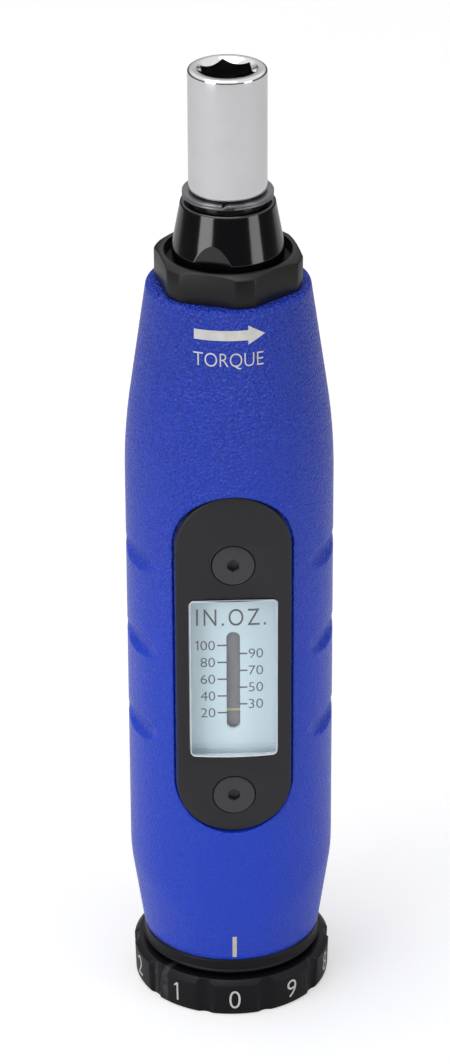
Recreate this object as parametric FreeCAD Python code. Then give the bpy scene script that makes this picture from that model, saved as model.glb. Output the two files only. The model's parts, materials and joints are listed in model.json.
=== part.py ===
import FreeCAD, Part
import math
import os

# Adjustable cam-over torque screwdriver with a 1/4 in hex drive, 20 to 100 in.oz.
# The tool stands on its setting dial: the origin is the centre of the dial's foot, +Z runs along the
# axis to the drive, and the window faces -Y. Lengths are millimetres and angles are degrees.
#
# How it works: the dial turns the adjusting screw, which lifts the spring cup by one thread pitch a
# turn. The cup presses the main spring against the ball carrier, and the carrier holds six balls in
# the pockets of the cam plate. The cam plate turns the spindle until the set torque lifts the balls
# out of their pockets.

V = FreeCAD.Vector
X_AXIS = V(1, 0, 0)
Y_AXIS = V(0, 1, 0)
Z_AXIS = V(0, 0, 1)

# ---------------------------------------------------------------- clearances
seat_gap = 0.02             # pressed and threaded fits
running_gap = 0.05          # turning fits
sliding_gap = 0.1           # sliding fits
trim_gap = 0.2              # the line that shows round the bezel plate
overrun = 1.0               # how far a cutting tool runs past a face

# ---------------------------------------------------------------- setting dial
dial_radius = 13.55
dial_foot_radius = 13.4
dial_height = 5.3
dial_top_chamfer = 0.7
dial_foot_chamfer = 0.3
digit_count = 10
notch_width = 2.6
notch_depth = 0.6
foot_recess_radius = 9.5
foot_recess_depth = 0.5
dial_web_thickness = 0.8
drive_hex_width = 6.0       # across flats, on the adjusting screw's lower end
drive_hex_height = 2.3

# ---------------------------------------------------------------- collar and dial detent
dial_washer_thickness = 0.4
dial_washer_radius = 7.0
collar_radius = 12.2
collar_height = 2.3
collar_top_chamfer = 0.3
collar_foot_chamfer = 0.5
collar_plug_length = 8.0
click_ball_radius = 0.8
click_circle_radius = 10.3
click_reach = 0.65          # how far the ball stands out of the collar
click_groove_gap = 0.05
click_dimple_depth = 0.15
click_disc_count = 4
click_disc_thickness = 0.12
click_disc_width = 0.4
click_hole_web = 0.4        # left of the flange above the ball's hole

# ---------------------------------------------------------------- adjusting screw
screw_journal_radius = 3.9
screw_thread_radius = 3.175  # 1/4-20
screw_pitch = 1.27
screw_length = 47.8          # from the top of the collar's flange
thrust_washer_thickness = 0.8
thrust_washer_radius = 7.0
retainer_thickness = 0.8
retainer_radius = 5.6
retainer_groove_radius = 3.3
retainer_gap_angle = 50.0
dial_screw_radius = 1.45
dial_screw_head_radius = 2.75
dial_screw_head_height = 1.5
dial_screw_reach = 8.0
dial_screw_socket_width = 2.0
dial_screw_socket_web = 0.5

# ---------------------------------------------------------------- handle
handle_length = 96.3
handle_radius = 13.8
handle_foot_taper = 8.24     # half angles of the two tapered ends
handle_drive_taper = 8.3
foot_taper_length = 14.0     # up to the cylindrical grip
foot_blend_radius = 28.0
drive_blend_radius = 83.0
drive_taper_length = 27.3    # from the grip to the drive end
handle_rim_radius = 0.7
handle_foot_chamfer = 0.2
bore_radius = 9.0
grip_face_depth = 12.8       # flattened front and back, at the middle
grip_face_radius = 17.0
grip_side_reach = 13.95
finger_groove_radius = 1.9
finger_groove_depth = 0.95
finger_groove_pitch = 12.7
finger_groove_count = 3
finger_groove_first = 42.0   # height of the lowest groove
finger_groove_angle = 68.0   # from the front and from the back
keyway_radius = 1.05

# ---------------------------------------------------------------- window
plate_face_depth = 12.2
plate_thickness = 1.2
plate_width = 15.2
plate_below_screw = 5.55     # from the lower screw to the plate's foot
plate_above_screw = 9.95     # from the upper screw to the plate's top
plate_edge_chamfer = 0.15
window_width = 11.8
window_below_slot = 3.45
window_above_slot = 5.55     # room for the scale's heading
window_corner_radius = 0.8
lens_rim = 0.5               # the lens's flange under the plate
lens_bulge = 0.5
lens_back_depth = 9.72
scale_face_depth = 9.7
scale_thickness = 0.5
scale_zero_height = 46.25    # the 20 in.oz line
scale_slot_width = 1.75
scale_slot_below = 2.45      # from the 20 in.oz line to the slot's foot
scale_slot_above = 1.99      # from the 100 in.oz line to the slot's top
wall_slot_width = 5.0
screw_below_window = 6.05
screw_above_window = 4.95
bezel_head_radius = 2.8
bezel_head_rim = 0.1
bezel_shank_radius = 1.4
bezel_screw_reach = 2.9
bezel_socket_width = 1.6
bezel_socket_depth = 0.8

# ---------------------------------------------------------------- spring cup and indicator
setting_turns = 8
cup_reach = 12.8             # above and below the indicator line
cup_floor = 8.0
cup_bore_radius = 7.4
indicator_height = 0.36
indicator_depth = 0.3
key_pin_radius = 0.95
seat_pin_length = 8.0
seat_pin_rise = 1.5         # from the cup's foot to the pin

# ---------------------------------------------------------------- clutch
clutch_ball_radius = 1.5
clutch_ball_count = 6
clutch_pocket_count = 12
clutch_pocket_depth = 0.7
clutch_circle_radius = 5.8
clutch_lift = 0.75
carrier_height = 6.9
carrier_bore_radius = 3.4
carrier_face_gap = 0.9       # between the carrier and the cam plate
carrier_pin_length = 5.0
spring_washer_thickness = 1.0
spring_washer_bore = 4.0
spring_wire = 1.9
spring_mean_radius = 6.1
spring_turns = 9.0
cam_plate_height = 3.2
cam_web_thickness = 1.2
cam_hex_width = 7.0
cam_screw_radius = 1.5
cam_screw_head_radius = 2.75
cam_screw_head_height = 2.4
cam_screw_reach = 9.0
cam_screw_socket_width = 2.5

# ---------------------------------------------------------------- thrust bearing
race_thickness = 1.0
race_space = 0.8             # between the two races
race_radius = 8.2
thrust_ball_radius = 0.8
thrust_ball_count = 12
thrust_circle_radius = 7.0

# ---------------------------------------------------------------- front nut
nut_height = 4.4
nut_corner_radius = 9.75
nut_width = 18.0             # across flats
nut_turn = 11.2              # direction of a flat, from +X
nut_crown_radius = 8.8
nut_crown_angle = 30.0
nut_stem_length = 10.5
nut_bore_radius = 7.22
nut_mouth_radius = 8.3
nut_mouth_depth = 2.5
nut_mouth_chamfer = 0.15
bushing_length = 11.4
seal_thickness = 0.9

# ---------------------------------------------------------------- output spindle
journal_radius = 5.5
cone_foot_radius = 7.3
cone_foot_gap = 0.3          # between the seal and the cone
cone_height = 8.1
cone_straight = 1.8          # the cylindrical foot of the cone
cone_top_radius = 6.18
cone_top_chamfer = 0.3
wrench_flat_depth = 6.85
wrench_flat_turn = 71.0      # direction of a flat, from +X
neck_radius = 5.0
neck_height = 1.57
ring_thickness = 0.3
ring_groove_radius = 4.65
ring_radius = 5.9
ring_step = 0.03
ring_top_gap = 0.19          # from the ring to the bit holder
ring_end_turn = -92.0
ring_end_gap = 8.0

# ---------------------------------------------------------------- bit holder
holder_radius = 5.085
holder_length = 16.28
holder_foot_chamfer = 0.3
holder_top_chamfer = 0.4
holder_stem_radius = 4.0
holder_stem_length = 12.0
hex_width = 6.4              # the 1/4 in drive, across flats
hex_turn = 7.4               # direction of a flat, from +X
hex_depth = 11.0
hex_mouth_radius = 3.87
hex_mouth_depth = 0.75
magnet_radius = 2.4
magnet_height = 3.0

# ---------------------------------------------------------------- heights that follow
collar_foot = dial_height + dial_washer_thickness
handle_foot = collar_foot + collar_height
handle_top = handle_foot + handle_length
collar_plug_top = handle_foot + collar_plug_length
thrust_washer_top = collar_plug_top + thrust_washer_thickness
retainer_foot = thrust_washer_top + running_gap
retainer_top = retainer_foot + retainer_thickness
cup_foot = scale_zero_height - cup_reach
cup_top = scale_zero_height + cup_reach
cup_travel = setting_turns * screw_pitch
cup_radius = bore_radius - sliding_gap
scale_slot_foot = scale_zero_height - scale_slot_below
scale_slot_top = scale_zero_height + cup_travel + scale_slot_above
window_foot = scale_slot_foot - window_below_slot
window_top = scale_slot_top + window_above_slot
bezel_screw_heights = (window_foot - screw_below_window, window_top + screw_above_window)
plate_foot = bezel_screw_heights[0] - plate_below_screw
plate_top = bezel_screw_heights[1] + plate_above_screw
nut_top = handle_top + nut_height
nut_stem_foot = handle_top - nut_stem_length
nut_mouth_foot = nut_top - nut_mouth_depth
race_front_foot = nut_stem_foot - race_thickness
race_rear_top = race_front_foot - race_space
race_rear_foot = race_rear_top - race_thickness
cam_foot = race_rear_foot - cam_plate_height
carrier_top = cam_foot - carrier_face_gap
carrier_foot = carrier_top - carrier_height
spring_washer_foot = carrier_foot - spring_washer_thickness
clutch_ball_height = cam_foot + clutch_pocket_depth - clutch_ball_radius
seal_top = nut_mouth_foot + seal_thickness
cone_foot = seal_top + cone_foot_gap
cone_top = cone_foot + cone_height
neck_top = cone_top + neck_height
holder_top = neck_top + holder_length
hex_floor = holder_top - hex_depth
stem_foot = neck_top - holder_stem_length
pocket_floor_depth = plate_face_depth - plate_thickness
scale_back_depth = scale_face_depth - scale_thickness
pin_circle_radius = bore_radius


# ---------------------------------------------------------------- forms
def cylinder(radius, z_low, z_high, x=0.0, y=0.0):
    """Upright cylinder between two heights."""
    return Part.makeCylinder(radius, z_high - z_low, V(x, y, z_low), Z_AXIS)


def tube(r_in, r_out, z_low, z_high):
    """Upright ring between two heights."""
    return cylinder(r_out, z_low, z_high).cut(cylinder(r_in, z_low - overrun, z_high + overrun))


def turned(points):
    """Solid turned about the axis from a closed (radius, height) outline of straight lines."""
    outline = [V(r, 0, z) for r, z in points]
    wire = Part.makePolygon(outline + outline[:1])
    return Part.Face(wire).revolve(V(0, 0, 0), Z_AXIS, 360)


def hexagon(width, z_low, z_high, turn=0.0):
    """Upright hexagonal bar, with one flat facing the direction turn."""
    corner = width / 2 / math.cos(math.radians(30))
    angles = [math.radians(turn + 30 + 60 * k) for k in range(6)]
    outline = [V(corner * math.cos(a), corner * math.sin(a), z_low) for a in angles]
    wire = Part.makePolygon(outline + outline[:1])
    return Part.Face(wire).extrude(V(0, 0, z_high - z_low))


def on_circle(count, radius, first=0.0):
    """Evenly spaced (x, y) places round the axis."""
    places = []
    for k in range(count):
        angle = math.radians(first + 360.0 * k / count)
        places.append((radius * math.cos(angle), radius * math.sin(angle)))
    return places


def rounded_slab(width, z_low, z_high, corner, depth_front, depth_back):
    """Upright slab facing -Y with rounded corners, between two depths in front of the axis."""
    half = width / 2
    slab = Part.makeBox(width, depth_front - depth_back, z_high - z_low, V(-half, -depth_front, z_low))
    edges = [e for e in slab.Edges if abs(e.tangentAt(e.FirstParameter).y) > 0.9]
    return slab.makeFillet(corner, edges)


def coil(wire_radius, mean_radius, z_low, z_high, turns):
    """Compression spring with its ends ground flat, between two heights."""
    pitch = (z_high - z_low) / turns
    path = Part.makeHelix(pitch, z_high - z_low + 2 * wire_radius, mean_radius)
    path.translate(V(0, 0, z_low - wire_radius))
    start = path.Edges[0].valueAt(path.Edges[0].FirstParameter)
    section = Part.Wire(Part.makeCircle(wire_radius, start, Y_AXIS))
    sweep = Part.BRepOffsetAPI.MakePipeShell(Part.Wire(path.Edges))
    sweep.add(section)
    sweep.setFrenetMode(True)
    sweep.build()
    sweep.makeSolid()
    return sweep.shape().common(cylinder(mean_radius + 3 * wire_radius, z_low, z_high))


# ---------------------------------------------------------------- dial sub-assembly
def make_setting_dial():
    """Ten-lobed dial: a digit goes on each lobe, and the notches between them give the grip."""
    top = dial_height
    side_top = top - dial_top_chamfer
    head_seat = top - drive_hex_height - dial_web_thickness
    dial = turned([
        (0, 0), (dial_foot_radius - dial_foot_chamfer, 0), (dial_foot_radius, dial_foot_chamfer),
        (dial_radius, side_top), (dial_radius - dial_top_chamfer, top), (0, top),
    ])
    notch_radius = notch_width ** 2 / (8 * notch_depth) + notch_depth / 2
    notch_circle = dial_radius - notch_depth + notch_radius
    cutters = [cylinder(notch_radius, -overrun, top + overrun, x, y)
               for x, y in on_circle(digit_count, notch_circle, 180.0 / digit_count - 90.0)]
    cutters.append(cylinder(foot_recess_radius, -overrun, foot_recess_depth))
    cutters.append(cylinder(dial_screw_head_radius + sliding_gap, 0, head_seat))
    cutters.append(cylinder(dial_screw_radius + sliding_gap, 0, top + overrun))
    cutters.append(hexagon(drive_hex_width + 2 * seat_gap, top - drive_hex_height, top + overrun))
    groove_height = collar_foot - click_reach + click_ball_radius
    groove_radius = click_ball_radius + click_groove_gap
    cutters.append(Part.makeTorus(click_circle_radius, groove_radius, V(0, 0, groove_height), Z_AXIS))
    for x, y in on_circle(digit_count, click_circle_radius, 90.0):
        cutters.append(Part.makeSphere(groove_radius, V(x, y, groove_height - click_dimple_depth)))
    return dial.cut(cutters)


def make_adjusting_screw():
    """Screw with a hexagonal lower end for the dial and a journal that turns in the collar."""
    journal_top = retainer_top + 0.5 * retainer_thickness
    screw = cylinder(screw_journal_radius, dial_height, journal_top)
    screw = screw.fuse(cylinder(screw_thread_radius, journal_top, handle_foot + screw_length))
    screw = screw.fuse(hexagon(drive_hex_width, dial_height - drive_hex_height, dial_height))
    groove = tube(retainer_groove_radius, screw_journal_radius + overrun,
                  retainer_foot - seat_gap, retainer_top + seat_gap)
    hole_foot = dial_height - drive_hex_height - overrun
    hole = cylinder(dial_screw_radius + seat_gap, hole_foot, hole_foot + dial_screw_reach + overrun)
    return screw.cut([groove, hole])


def make_dial_screw():
    """Hex-socket cap screw that pulls the dial onto the adjusting screw."""
    seat = dial_height - drive_hex_height - dial_web_thickness
    head = cylinder(dial_screw_head_radius, seat - dial_screw_head_height, seat)
    shank = cylinder(dial_screw_radius, seat, seat + dial_screw_reach)
    socket = hexagon(dial_screw_socket_width, seat - dial_screw_head_height - overrun,
                     seat - dial_screw_socket_web)
    return head.fuse(shank).cut(socket)


def make_retainer():
    """Open ring in the adjusting screw's groove."""
    ring = tube(retainer_groove_radius + seat_gap, retainer_radius, retainer_foot, retainer_top)
    half = math.radians(retainer_gap_angle / 2)
    reach = retainer_radius * 2
    gap = Part.makePolygon([
        V(0, 0, retainer_foot - overrun),
        V(reach, -reach * math.tan(half), retainer_foot - overrun),
        V(reach, reach * math.tan(half), retainer_foot - overrun),
        V(0, 0, retainer_foot - overrun),
    ])
    return ring.cut(Part.Face(gap).extrude(V(0, 0, retainer_thickness + 2 * overrun)))


# ---------------------------------------------------------------- collar sub-assembly
def make_base_collar():
    """Flanged plug screwed into the foot of the handle, with the adjusting screw's bearing."""
    bore = screw_journal_radius + running_gap
    plug = bore_radius - seat_gap
    collar = turned([
        (bore, collar_foot), (collar_radius - collar_foot_chamfer, collar_foot),
        (collar_radius, collar_foot + collar_foot_chamfer),
        (collar_radius, handle_foot - collar_top_chamfer),
        (collar_radius - collar_top_chamfer, handle_foot), (plug, handle_foot),
        (plug, collar_plug_top), (bore, collar_plug_top),
    ])
    x, y = 0.0, click_circle_radius
    hole = cylinder(click_ball_radius + running_gap, collar_foot - overrun, click_spring_top(), x, y)
    return collar.cut(hole)


def click_ball_centre():
    """Height of the centre of the dial's detent ball."""
    return collar_foot - click_reach + click_ball_radius


def click_spring_top():
    """Height of the floor of the detent's hole in the collar."""
    return handle_foot - click_hole_web


def make_click_ball():
    """Detent ball that rides in the dial's groove and drops into its ten dimples."""
    return Part.makeSphere(click_ball_radius, V(0, click_circle_radius, click_ball_centre()))


def make_click_spring():
    """Stack of cone-shaped disc springs behind the detent ball, each turned over on the last."""
    foot = click_ball_centre() + click_ball_radius
    step = (click_spring_top() - foot) / click_disc_count
    rise = step - click_disc_thickness
    outer = click_ball_radius
    inner = outer - click_disc_width
    discs = []
    for k in range(click_disc_count):
        z = foot + k * step
        lean = (0, rise) if k % 2 else (rise, 0)
        discs.append(turned([
            (inner, z + lean[0]), (outer, z + lean[1]), (outer, z + lean[1] + click_disc_thickness),
            (inner, z + lean[0] + click_disc_thickness),
        ]))
    stack = Part.makeCompound(discs)
    stack.translate(V(0, click_circle_radius, 0))
    return stack


# ---------------------------------------------------------------- handle
def handle_outline():
    """Turned outside of the handle: tapered foot, cylindrical grip, long taper to the drive end."""
    foot_slope = math.radians(handle_foot_taper)
    drive_slope = math.radians(handle_drive_taper)
    grip_foot = handle_foot + foot_taper_length
    grip_top = handle_top - drive_taper_length
    r = handle_radius

    def foot_arc(angle):
        drop = foot_blend_radius * (1 - math.cos(angle))
        return V(r - drop, 0, grip_foot - foot_blend_radius * math.sin(angle))

    def drive_arc(angle):
        drop = drive_blend_radius * (1 - math.cos(angle))
        return V(r - drop, 0, grip_top + drive_blend_radius * math.sin(angle))

    foot_end = foot_arc(foot_slope)
    foot_edge_z = handle_foot + handle_foot_chamfer
    foot_edge = V(foot_end.x - (foot_end.z - foot_edge_z) * math.tan(foot_slope), 0, foot_edge_z)
    drive_end = drive_arc(drive_slope)
    rim_z = handle_top - handle_rim_radius * (1 - math.sin(drive_slope))
    rim_start = V(drive_end.x - (rim_z - drive_end.z) * math.tan(drive_slope), 0, rim_z)
    rim_centre = V(rim_start.x - handle_rim_radius * math.cos(drive_slope), 0,
                   handle_top - handle_rim_radius)
    mid_angle = (drive_slope + math.pi / 2) / 2
    rim_mid = V(rim_centre.x + handle_rim_radius * math.cos(mid_angle), 0,
                rim_centre.z + handle_rim_radius * math.sin(mid_angle))
    rim_end = V(rim_centre.x, 0, handle_top)
    edges = [
        Part.LineSegment(V(0, 0, handle_foot), V(foot_edge.x - handle_foot_chamfer, 0, handle_foot)),
        Part.LineSegment(V(foot_edge.x - handle_foot_chamfer, 0, handle_foot), foot_edge),
        Part.LineSegment(foot_edge, foot_end),
        Part.Arc(foot_end, foot_arc(foot_slope / 2), V(r, 0, grip_foot)),
        Part.LineSegment(V(r, 0, grip_foot), V(r, 0, grip_top)),
        Part.Arc(V(r, 0, grip_top), drive_arc(drive_slope / 2), drive_end),
        Part.LineSegment(drive_end, rim_start),
        Part.Arc(rim_start, rim_mid, rim_end),
        Part.LineSegment(rim_end, V(0, 0, handle_top)),
        Part.LineSegment(V(0, 0, handle_top), V(0, 0, handle_foot)),
    ]
    return Part.Face(Part.Wire([e.toShape() for e in edges])).revolve(V(0, 0, 0), Z_AXIS, 360)


def grip_section():
    """Oval bar that flattens the grip: wide arcs at front and back, tighter arcs at the sides."""
    face_centre = grip_face_radius - grip_face_depth
    reach = grip_face_radius - grip_side_reach
    side_centre = (face_centre ** 2 - reach ** 2) / (2 * reach)
    side_radius = grip_side_reach - side_centre
    length = math.hypot(side_centre, face_centre)
    meet_x = grip_face_radius * side_centre / length
    meet_y = grip_face_radius * face_centre / length - face_centre
    low = handle_foot - overrun
    arcs = [
        Part.Arc(V(-meet_x, -meet_y, low), V(0, -grip_face_depth, low), V(meet_x, -meet_y, low)),
        Part.Arc(V(meet_x, -meet_y, low), V(side_centre + side_radius, 0, low), V(meet_x, meet_y, low)),
        Part.Arc(V(meet_x, meet_y, low), V(0, grip_face_depth, low), V(-meet_x, meet_y, low)),
        Part.Arc(V(-meet_x, meet_y, low), V(-side_centre - side_radius, 0, low),
                 V(-meet_x, -meet_y, low)),
    ]
    face = Part.Face(Part.Wire([a.toShape() for a in arcs]))
    return face.extrude(V(0, 0, handle_length + 2 * overrun))


def finger_groove(height, angle):
    """Round cutter lying across the side of the grip, square to the direction angle from the front."""
    turn = math.radians(angle)
    outward = V(math.sin(turn), -math.cos(turn), 0)
    along = V(math.cos(turn), math.sin(turn), 0)
    distance = handle_radius - finger_groove_depth + finger_groove_radius
    start = outward * distance - along * handle_radius + V(0, 0, height)
    return Part.makeCylinder(finger_groove_radius, 2 * handle_radius, start, along)


def plate_outline(growth, depth_front, depth_back):
    """Obround slab of the bezel plate, grown all round."""
    half = plate_width / 2 + growth
    low = plate_foot - growth
    high = plate_top + growth
    body = Part.makeBox(2 * half, depth_front - depth_back, high - low - 2 * half,
                        V(-half, -depth_front, low + half))
    for z in (low + half, high - half):
        body = body.fuse(Part.makeCylinder(half, depth_front - depth_back, V(0, -depth_front, z), Y_AXIS))
    return body.removeSplitter()


def make_handle_body():
    """Bored handle with the window's pockets, three finger grooves a side and the inner keyways."""
    handle = handle_outline().common(grip_section())
    cutters = []
    for k in range(finger_groove_count):
        height = finger_groove_first + k * finger_groove_pitch
        for angle in (finger_groove_angle, 180 - finger_groove_angle):
            cutters.append(finger_groove(height, angle))
            cutters.append(finger_groove(height, -angle))
    cutters.append(cylinder(bore_radius, handle_foot - overrun, handle_top + overrun))
    cutters.append(plate_outline(trim_gap, handle_radius + overrun, pocket_floor_depth))
    lens_width = window_width + 2 * (lens_rim + sliding_gap)
    lens_low = window_foot - lens_rim - sliding_gap
    lens_high = window_top + lens_rim + sliding_gap
    cutters.append(rounded_slab(lens_width, lens_low, lens_high, window_corner_radius,
                                pocket_floor_depth + overrun, scale_back_depth))
    slot_margin = (wall_slot_width - scale_slot_width) / 2
    cutters.append(rounded_slab(wall_slot_width, scale_slot_foot - slot_margin,
                                scale_slot_top + slot_margin, wall_slot_width / 2 - seat_gap,
                                scale_back_depth + overrun, bore_radius / 2))
    for z in bezel_screw_heights:
        cutters.append(bezel_screw_form(z, sliding_gap, plate_face_depth - bore_radius / 2))
    for x in (-pin_circle_radius, pin_circle_radius):
        cutters.append(cylinder(keyway_radius, carrier_foot - clutch_lift, carrier_top + overrun, x, 0))
    cutters.append(cylinder(keyway_radius, cup_foot, seat_pin_foot() + seat_pin_length + cup_travel
                            + overrun, 0, pin_circle_radius))
    return handle.cut(cutters)


# ---------------------------------------------------------------- window sub-assembly
def make_bezel_plate():
    """Obround plate with the window and two countersunk holes."""
    plate = plate_outline(0, plate_face_depth, pocket_floor_depth)
    front = [e for e in plate.Edges if e.BoundBox.YMax < -plate_face_depth + seat_gap]
    plate = plate.makeChamfer(plate_edge_chamfer, front)
    cutters = [rounded_slab(window_width, window_foot, window_top, window_corner_radius,
                            plate_face_depth + overrun, pocket_floor_depth - overrun)]
    for z in bezel_screw_heights:
        cutters.append(bezel_screw_form(z, sliding_gap, bezel_screw_reach))
    return plate.cut(cutters)


def bezel_screw_form(height, growth, reach):
    """Countersunk screw blank at a height, of a given reach, grown all round for its hole."""
    face = -plate_face_depth - growth
    head_back = bezel_head_rim - plate_face_depth
    cone_back = head_back + bezel_head_radius - bezel_shank_radius
    head = bezel_head_radius + growth
    shank = bezel_shank_radius + growth
    tip = reach - plate_face_depth
    points = [
        V(0, face, 0), V(head, face, 0), V(head, head_back, 0),
        V(shank, cone_back, 0), V(shank, tip, 0), V(0, tip, 0),
    ]
    blank = Part.Face(Part.makePolygon(points + points[:1])).revolve(V(0, 0, 0), Y_AXIS, 360)
    blank.translate(V(0, 0, height))
    return blank


def make_bezel_screw(height):
    """Flat-head hex-socket screw, flush with the plate."""
    socket = hexagon(bezel_socket_width, 0, bezel_socket_depth + overrun, 30.0)
    socket.rotate(V(0, 0, 0), X_AXIS, -90)
    socket.translate(V(0, -plate_face_depth - overrun, height))
    return bezel_screw_form(height, 0, bezel_screw_reach).cut(socket)


def make_window_lens():
    """Clear lens: a flange under the plate, and a block through it with a bowed face."""
    flange = rounded_slab(window_width + 2 * lens_rim, window_foot - lens_rim, window_top + lens_rim,
                          window_corner_radius, pocket_floor_depth - seat_gap, lens_back_depth)
    block = rounded_slab(window_width - 2 * sliding_gap, window_foot + sliding_gap,
                         window_top - sliding_gap, window_corner_radius - sliding_gap,
                         plate_face_depth + lens_bulge + overrun, lens_back_depth)
    half = window_width / 2
    bow_radius = (half ** 2 + lens_bulge ** 2) / (2 * lens_bulge)
    bow = cylinder(bow_radius, window_foot - overrun, window_top + overrun,
                   0, bow_radius - plate_face_depth - lens_bulge)
    return flange.fuse(block.common(bow)).removeSplitter()


def make_scale_plate():
    """Plate behind the lens, with the slot that shows the indicator."""
    plate = rounded_slab(window_width + 2 * lens_rim, window_foot - lens_rim, window_top + lens_rim,
                         window_corner_radius, scale_face_depth, scale_back_depth)
    slot = rounded_slab(scale_slot_width, scale_slot_foot, scale_slot_top,
                        scale_slot_width / 2 - seat_gap / 2,
                        scale_face_depth + overrun, scale_back_depth - overrun)
    return plate.cut(slot)


# ---------------------------------------------------------------- spring cup sub-assembly
def seat_pin_foot():
    """Height of the lower end of the spring cup's key pin."""
    return cup_foot + seat_pin_rise


def make_spring_cup():
    """Threaded cup that rides on the adjusting screw and carries the main spring."""
    cup = cylinder(cup_radius, cup_foot, cup_top)
    groove_half = indicator_height / 2
    cutters = [
        cylinder(cup_bore_radius, cup_foot + cup_floor, cup_top + overrun),
        cylinder(screw_thread_radius + running_gap, cup_foot - overrun, cup_top),
        tube(cup_radius - indicator_depth, cup_radius + overrun,
             scale_zero_height - groove_half, scale_zero_height + groove_half),
        cylinder(key_pin_radius + seat_gap, seat_pin_foot() - seat_gap,
                 seat_pin_foot() + seat_pin_length + seat_gap, 0, pin_circle_radius),
    ]
    return cup.cut(cutters)


def make_indicator_ring():
    """Coloured band let into the spring cup, read against the scale."""
    half = indicator_height / 2 - seat_gap
    return tube(cup_radius - indicator_depth + seat_gap, cup_radius,
                scale_zero_height - half, scale_zero_height + half)


def make_seat_pin():
    """Key pin that stops the spring cup from turning in the handle."""
    foot = seat_pin_foot()
    return cylinder(key_pin_radius, foot, foot + seat_pin_length, 0, pin_circle_radius)


# ---------------------------------------------------------------- clutch sub-assembly
def make_ball_carrier():
    """Carrier with a cup for each ball, keyed to the handle by two pins."""
    carrier = cylinder(cup_radius, carrier_foot, carrier_top)
    cutters = [cylinder(carrier_bore_radius, carrier_foot - overrun, carrier_top + overrun)]
    for x, y in on_circle(clutch_ball_count, clutch_circle_radius, 30.0):
        cutters.append(Part.makeSphere(clutch_ball_radius + seat_gap, V(x, y, clutch_ball_height)))
    for x in (-pin_circle_radius, pin_circle_radius):
        foot = carrier_pin_foot()
        cutters.append(cylinder(key_pin_radius + seat_gap, foot - seat_gap,
                                foot + carrier_pin_length + seat_gap, x, 0))
    return carrier.cut(cutters)


def carrier_pin_foot():
    """Height of the lower end of the carrier's key pins."""
    return carrier_foot + (carrier_height - carrier_pin_length) / 2


def make_carrier_pin(side):
    """Key pin of the ball carrier, at the left (-1) or the right (1)."""
    foot = carrier_pin_foot()
    return cylinder(key_pin_radius, foot, foot + carrier_pin_length, side * pin_circle_radius, 0)


def make_clutch_balls():
    """Six balls that hold the cam plate until the set torque is reached."""
    balls = [Part.makeSphere(clutch_ball_radius, V(x, y, clutch_ball_height))
             for x, y in on_circle(clutch_ball_count, clutch_circle_radius, 30.0)]
    return Part.makeCompound(balls)


def make_cam_plate():
    """Plate with twelve ball pockets, keyed on the spindle's hexagonal end."""
    plate = cylinder(race_radius, cam_foot, race_rear_foot)
    cutters = [
        hexagon(cam_hex_width + 2 * seat_gap, cam_foot + cam_web_thickness, race_rear_foot + overrun),
        cylinder(cam_screw_radius + sliding_gap, cam_foot - overrun, race_rear_foot),
    ]
    for x, y in on_circle(clutch_pocket_count, clutch_circle_radius):
        cutters.append(Part.makeSphere(clutch_ball_radius + running_gap, V(x, y, clutch_ball_height)))
    return plate.cut(cutters)


def make_cam_screw():
    """Cap screw that holds the cam plate on the spindle."""
    head = cylinder(cam_screw_head_radius, cam_foot - cam_screw_head_height, cam_foot)
    shank = cylinder(cam_screw_radius, cam_foot, cam_foot + cam_screw_reach)
    socket_foot = cam_foot - cam_screw_head_height
    socket = hexagon(cam_screw_socket_width, socket_foot - overrun,
                     socket_foot + cam_screw_head_height / 2)
    return head.fuse(shank).cut(socket)


# ---------------------------------------------------------------- thrust bearing
def race(z_low, z_high, r_in):
    """Thrust race with its ball track."""
    track_height = race_rear_top + race_space / 2
    track = Part.makeTorus(thrust_circle_radius, thrust_ball_radius + running_gap,
                           V(0, 0, track_height), Z_AXIS)
    return tube(r_in, race_radius, z_low, z_high).cut(track)


def make_thrust_balls():
    """Full row of balls between the two races."""
    height = race_rear_top + race_space / 2
    balls = [Part.makeSphere(thrust_ball_radius, V(x, y, height))
             for x, y in on_circle(thrust_ball_count, thrust_circle_radius)]
    return Part.makeCompound(balls)


# ---------------------------------------------------------------- drive end
def make_front_nut():
    """Hexagon nut turned from round bar, with a threaded stem in the handle."""
    drop = (nut_corner_radius - nut_crown_radius) * math.tan(math.radians(nut_crown_angle))
    bar = turned([
        (0, handle_top), (nut_corner_radius, handle_top), (nut_corner_radius, nut_top - drop),
        (nut_crown_radius, nut_top), (0, nut_top),
    ])
    nut = bar.common(hexagon(nut_width, handle_top, nut_top, nut_turn))
    nut = nut.fuse(cylinder(bore_radius - seat_gap, nut_stem_foot, handle_top))
    mouth_edge = nut_mouth_radius + nut_mouth_chamfer
    mouth = turned([
        (0, nut_mouth_foot), (nut_mouth_radius, nut_mouth_foot),
        (nut_mouth_radius, nut_top - nut_mouth_chamfer), (mouth_edge, nut_top),
        (mouth_edge, nut_top + overrun), (0, nut_top + overrun),
    ])
    bore = cylinder(nut_bore_radius, nut_stem_foot - overrun, nut_top)
    return nut.cut([mouth, bore])


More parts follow.
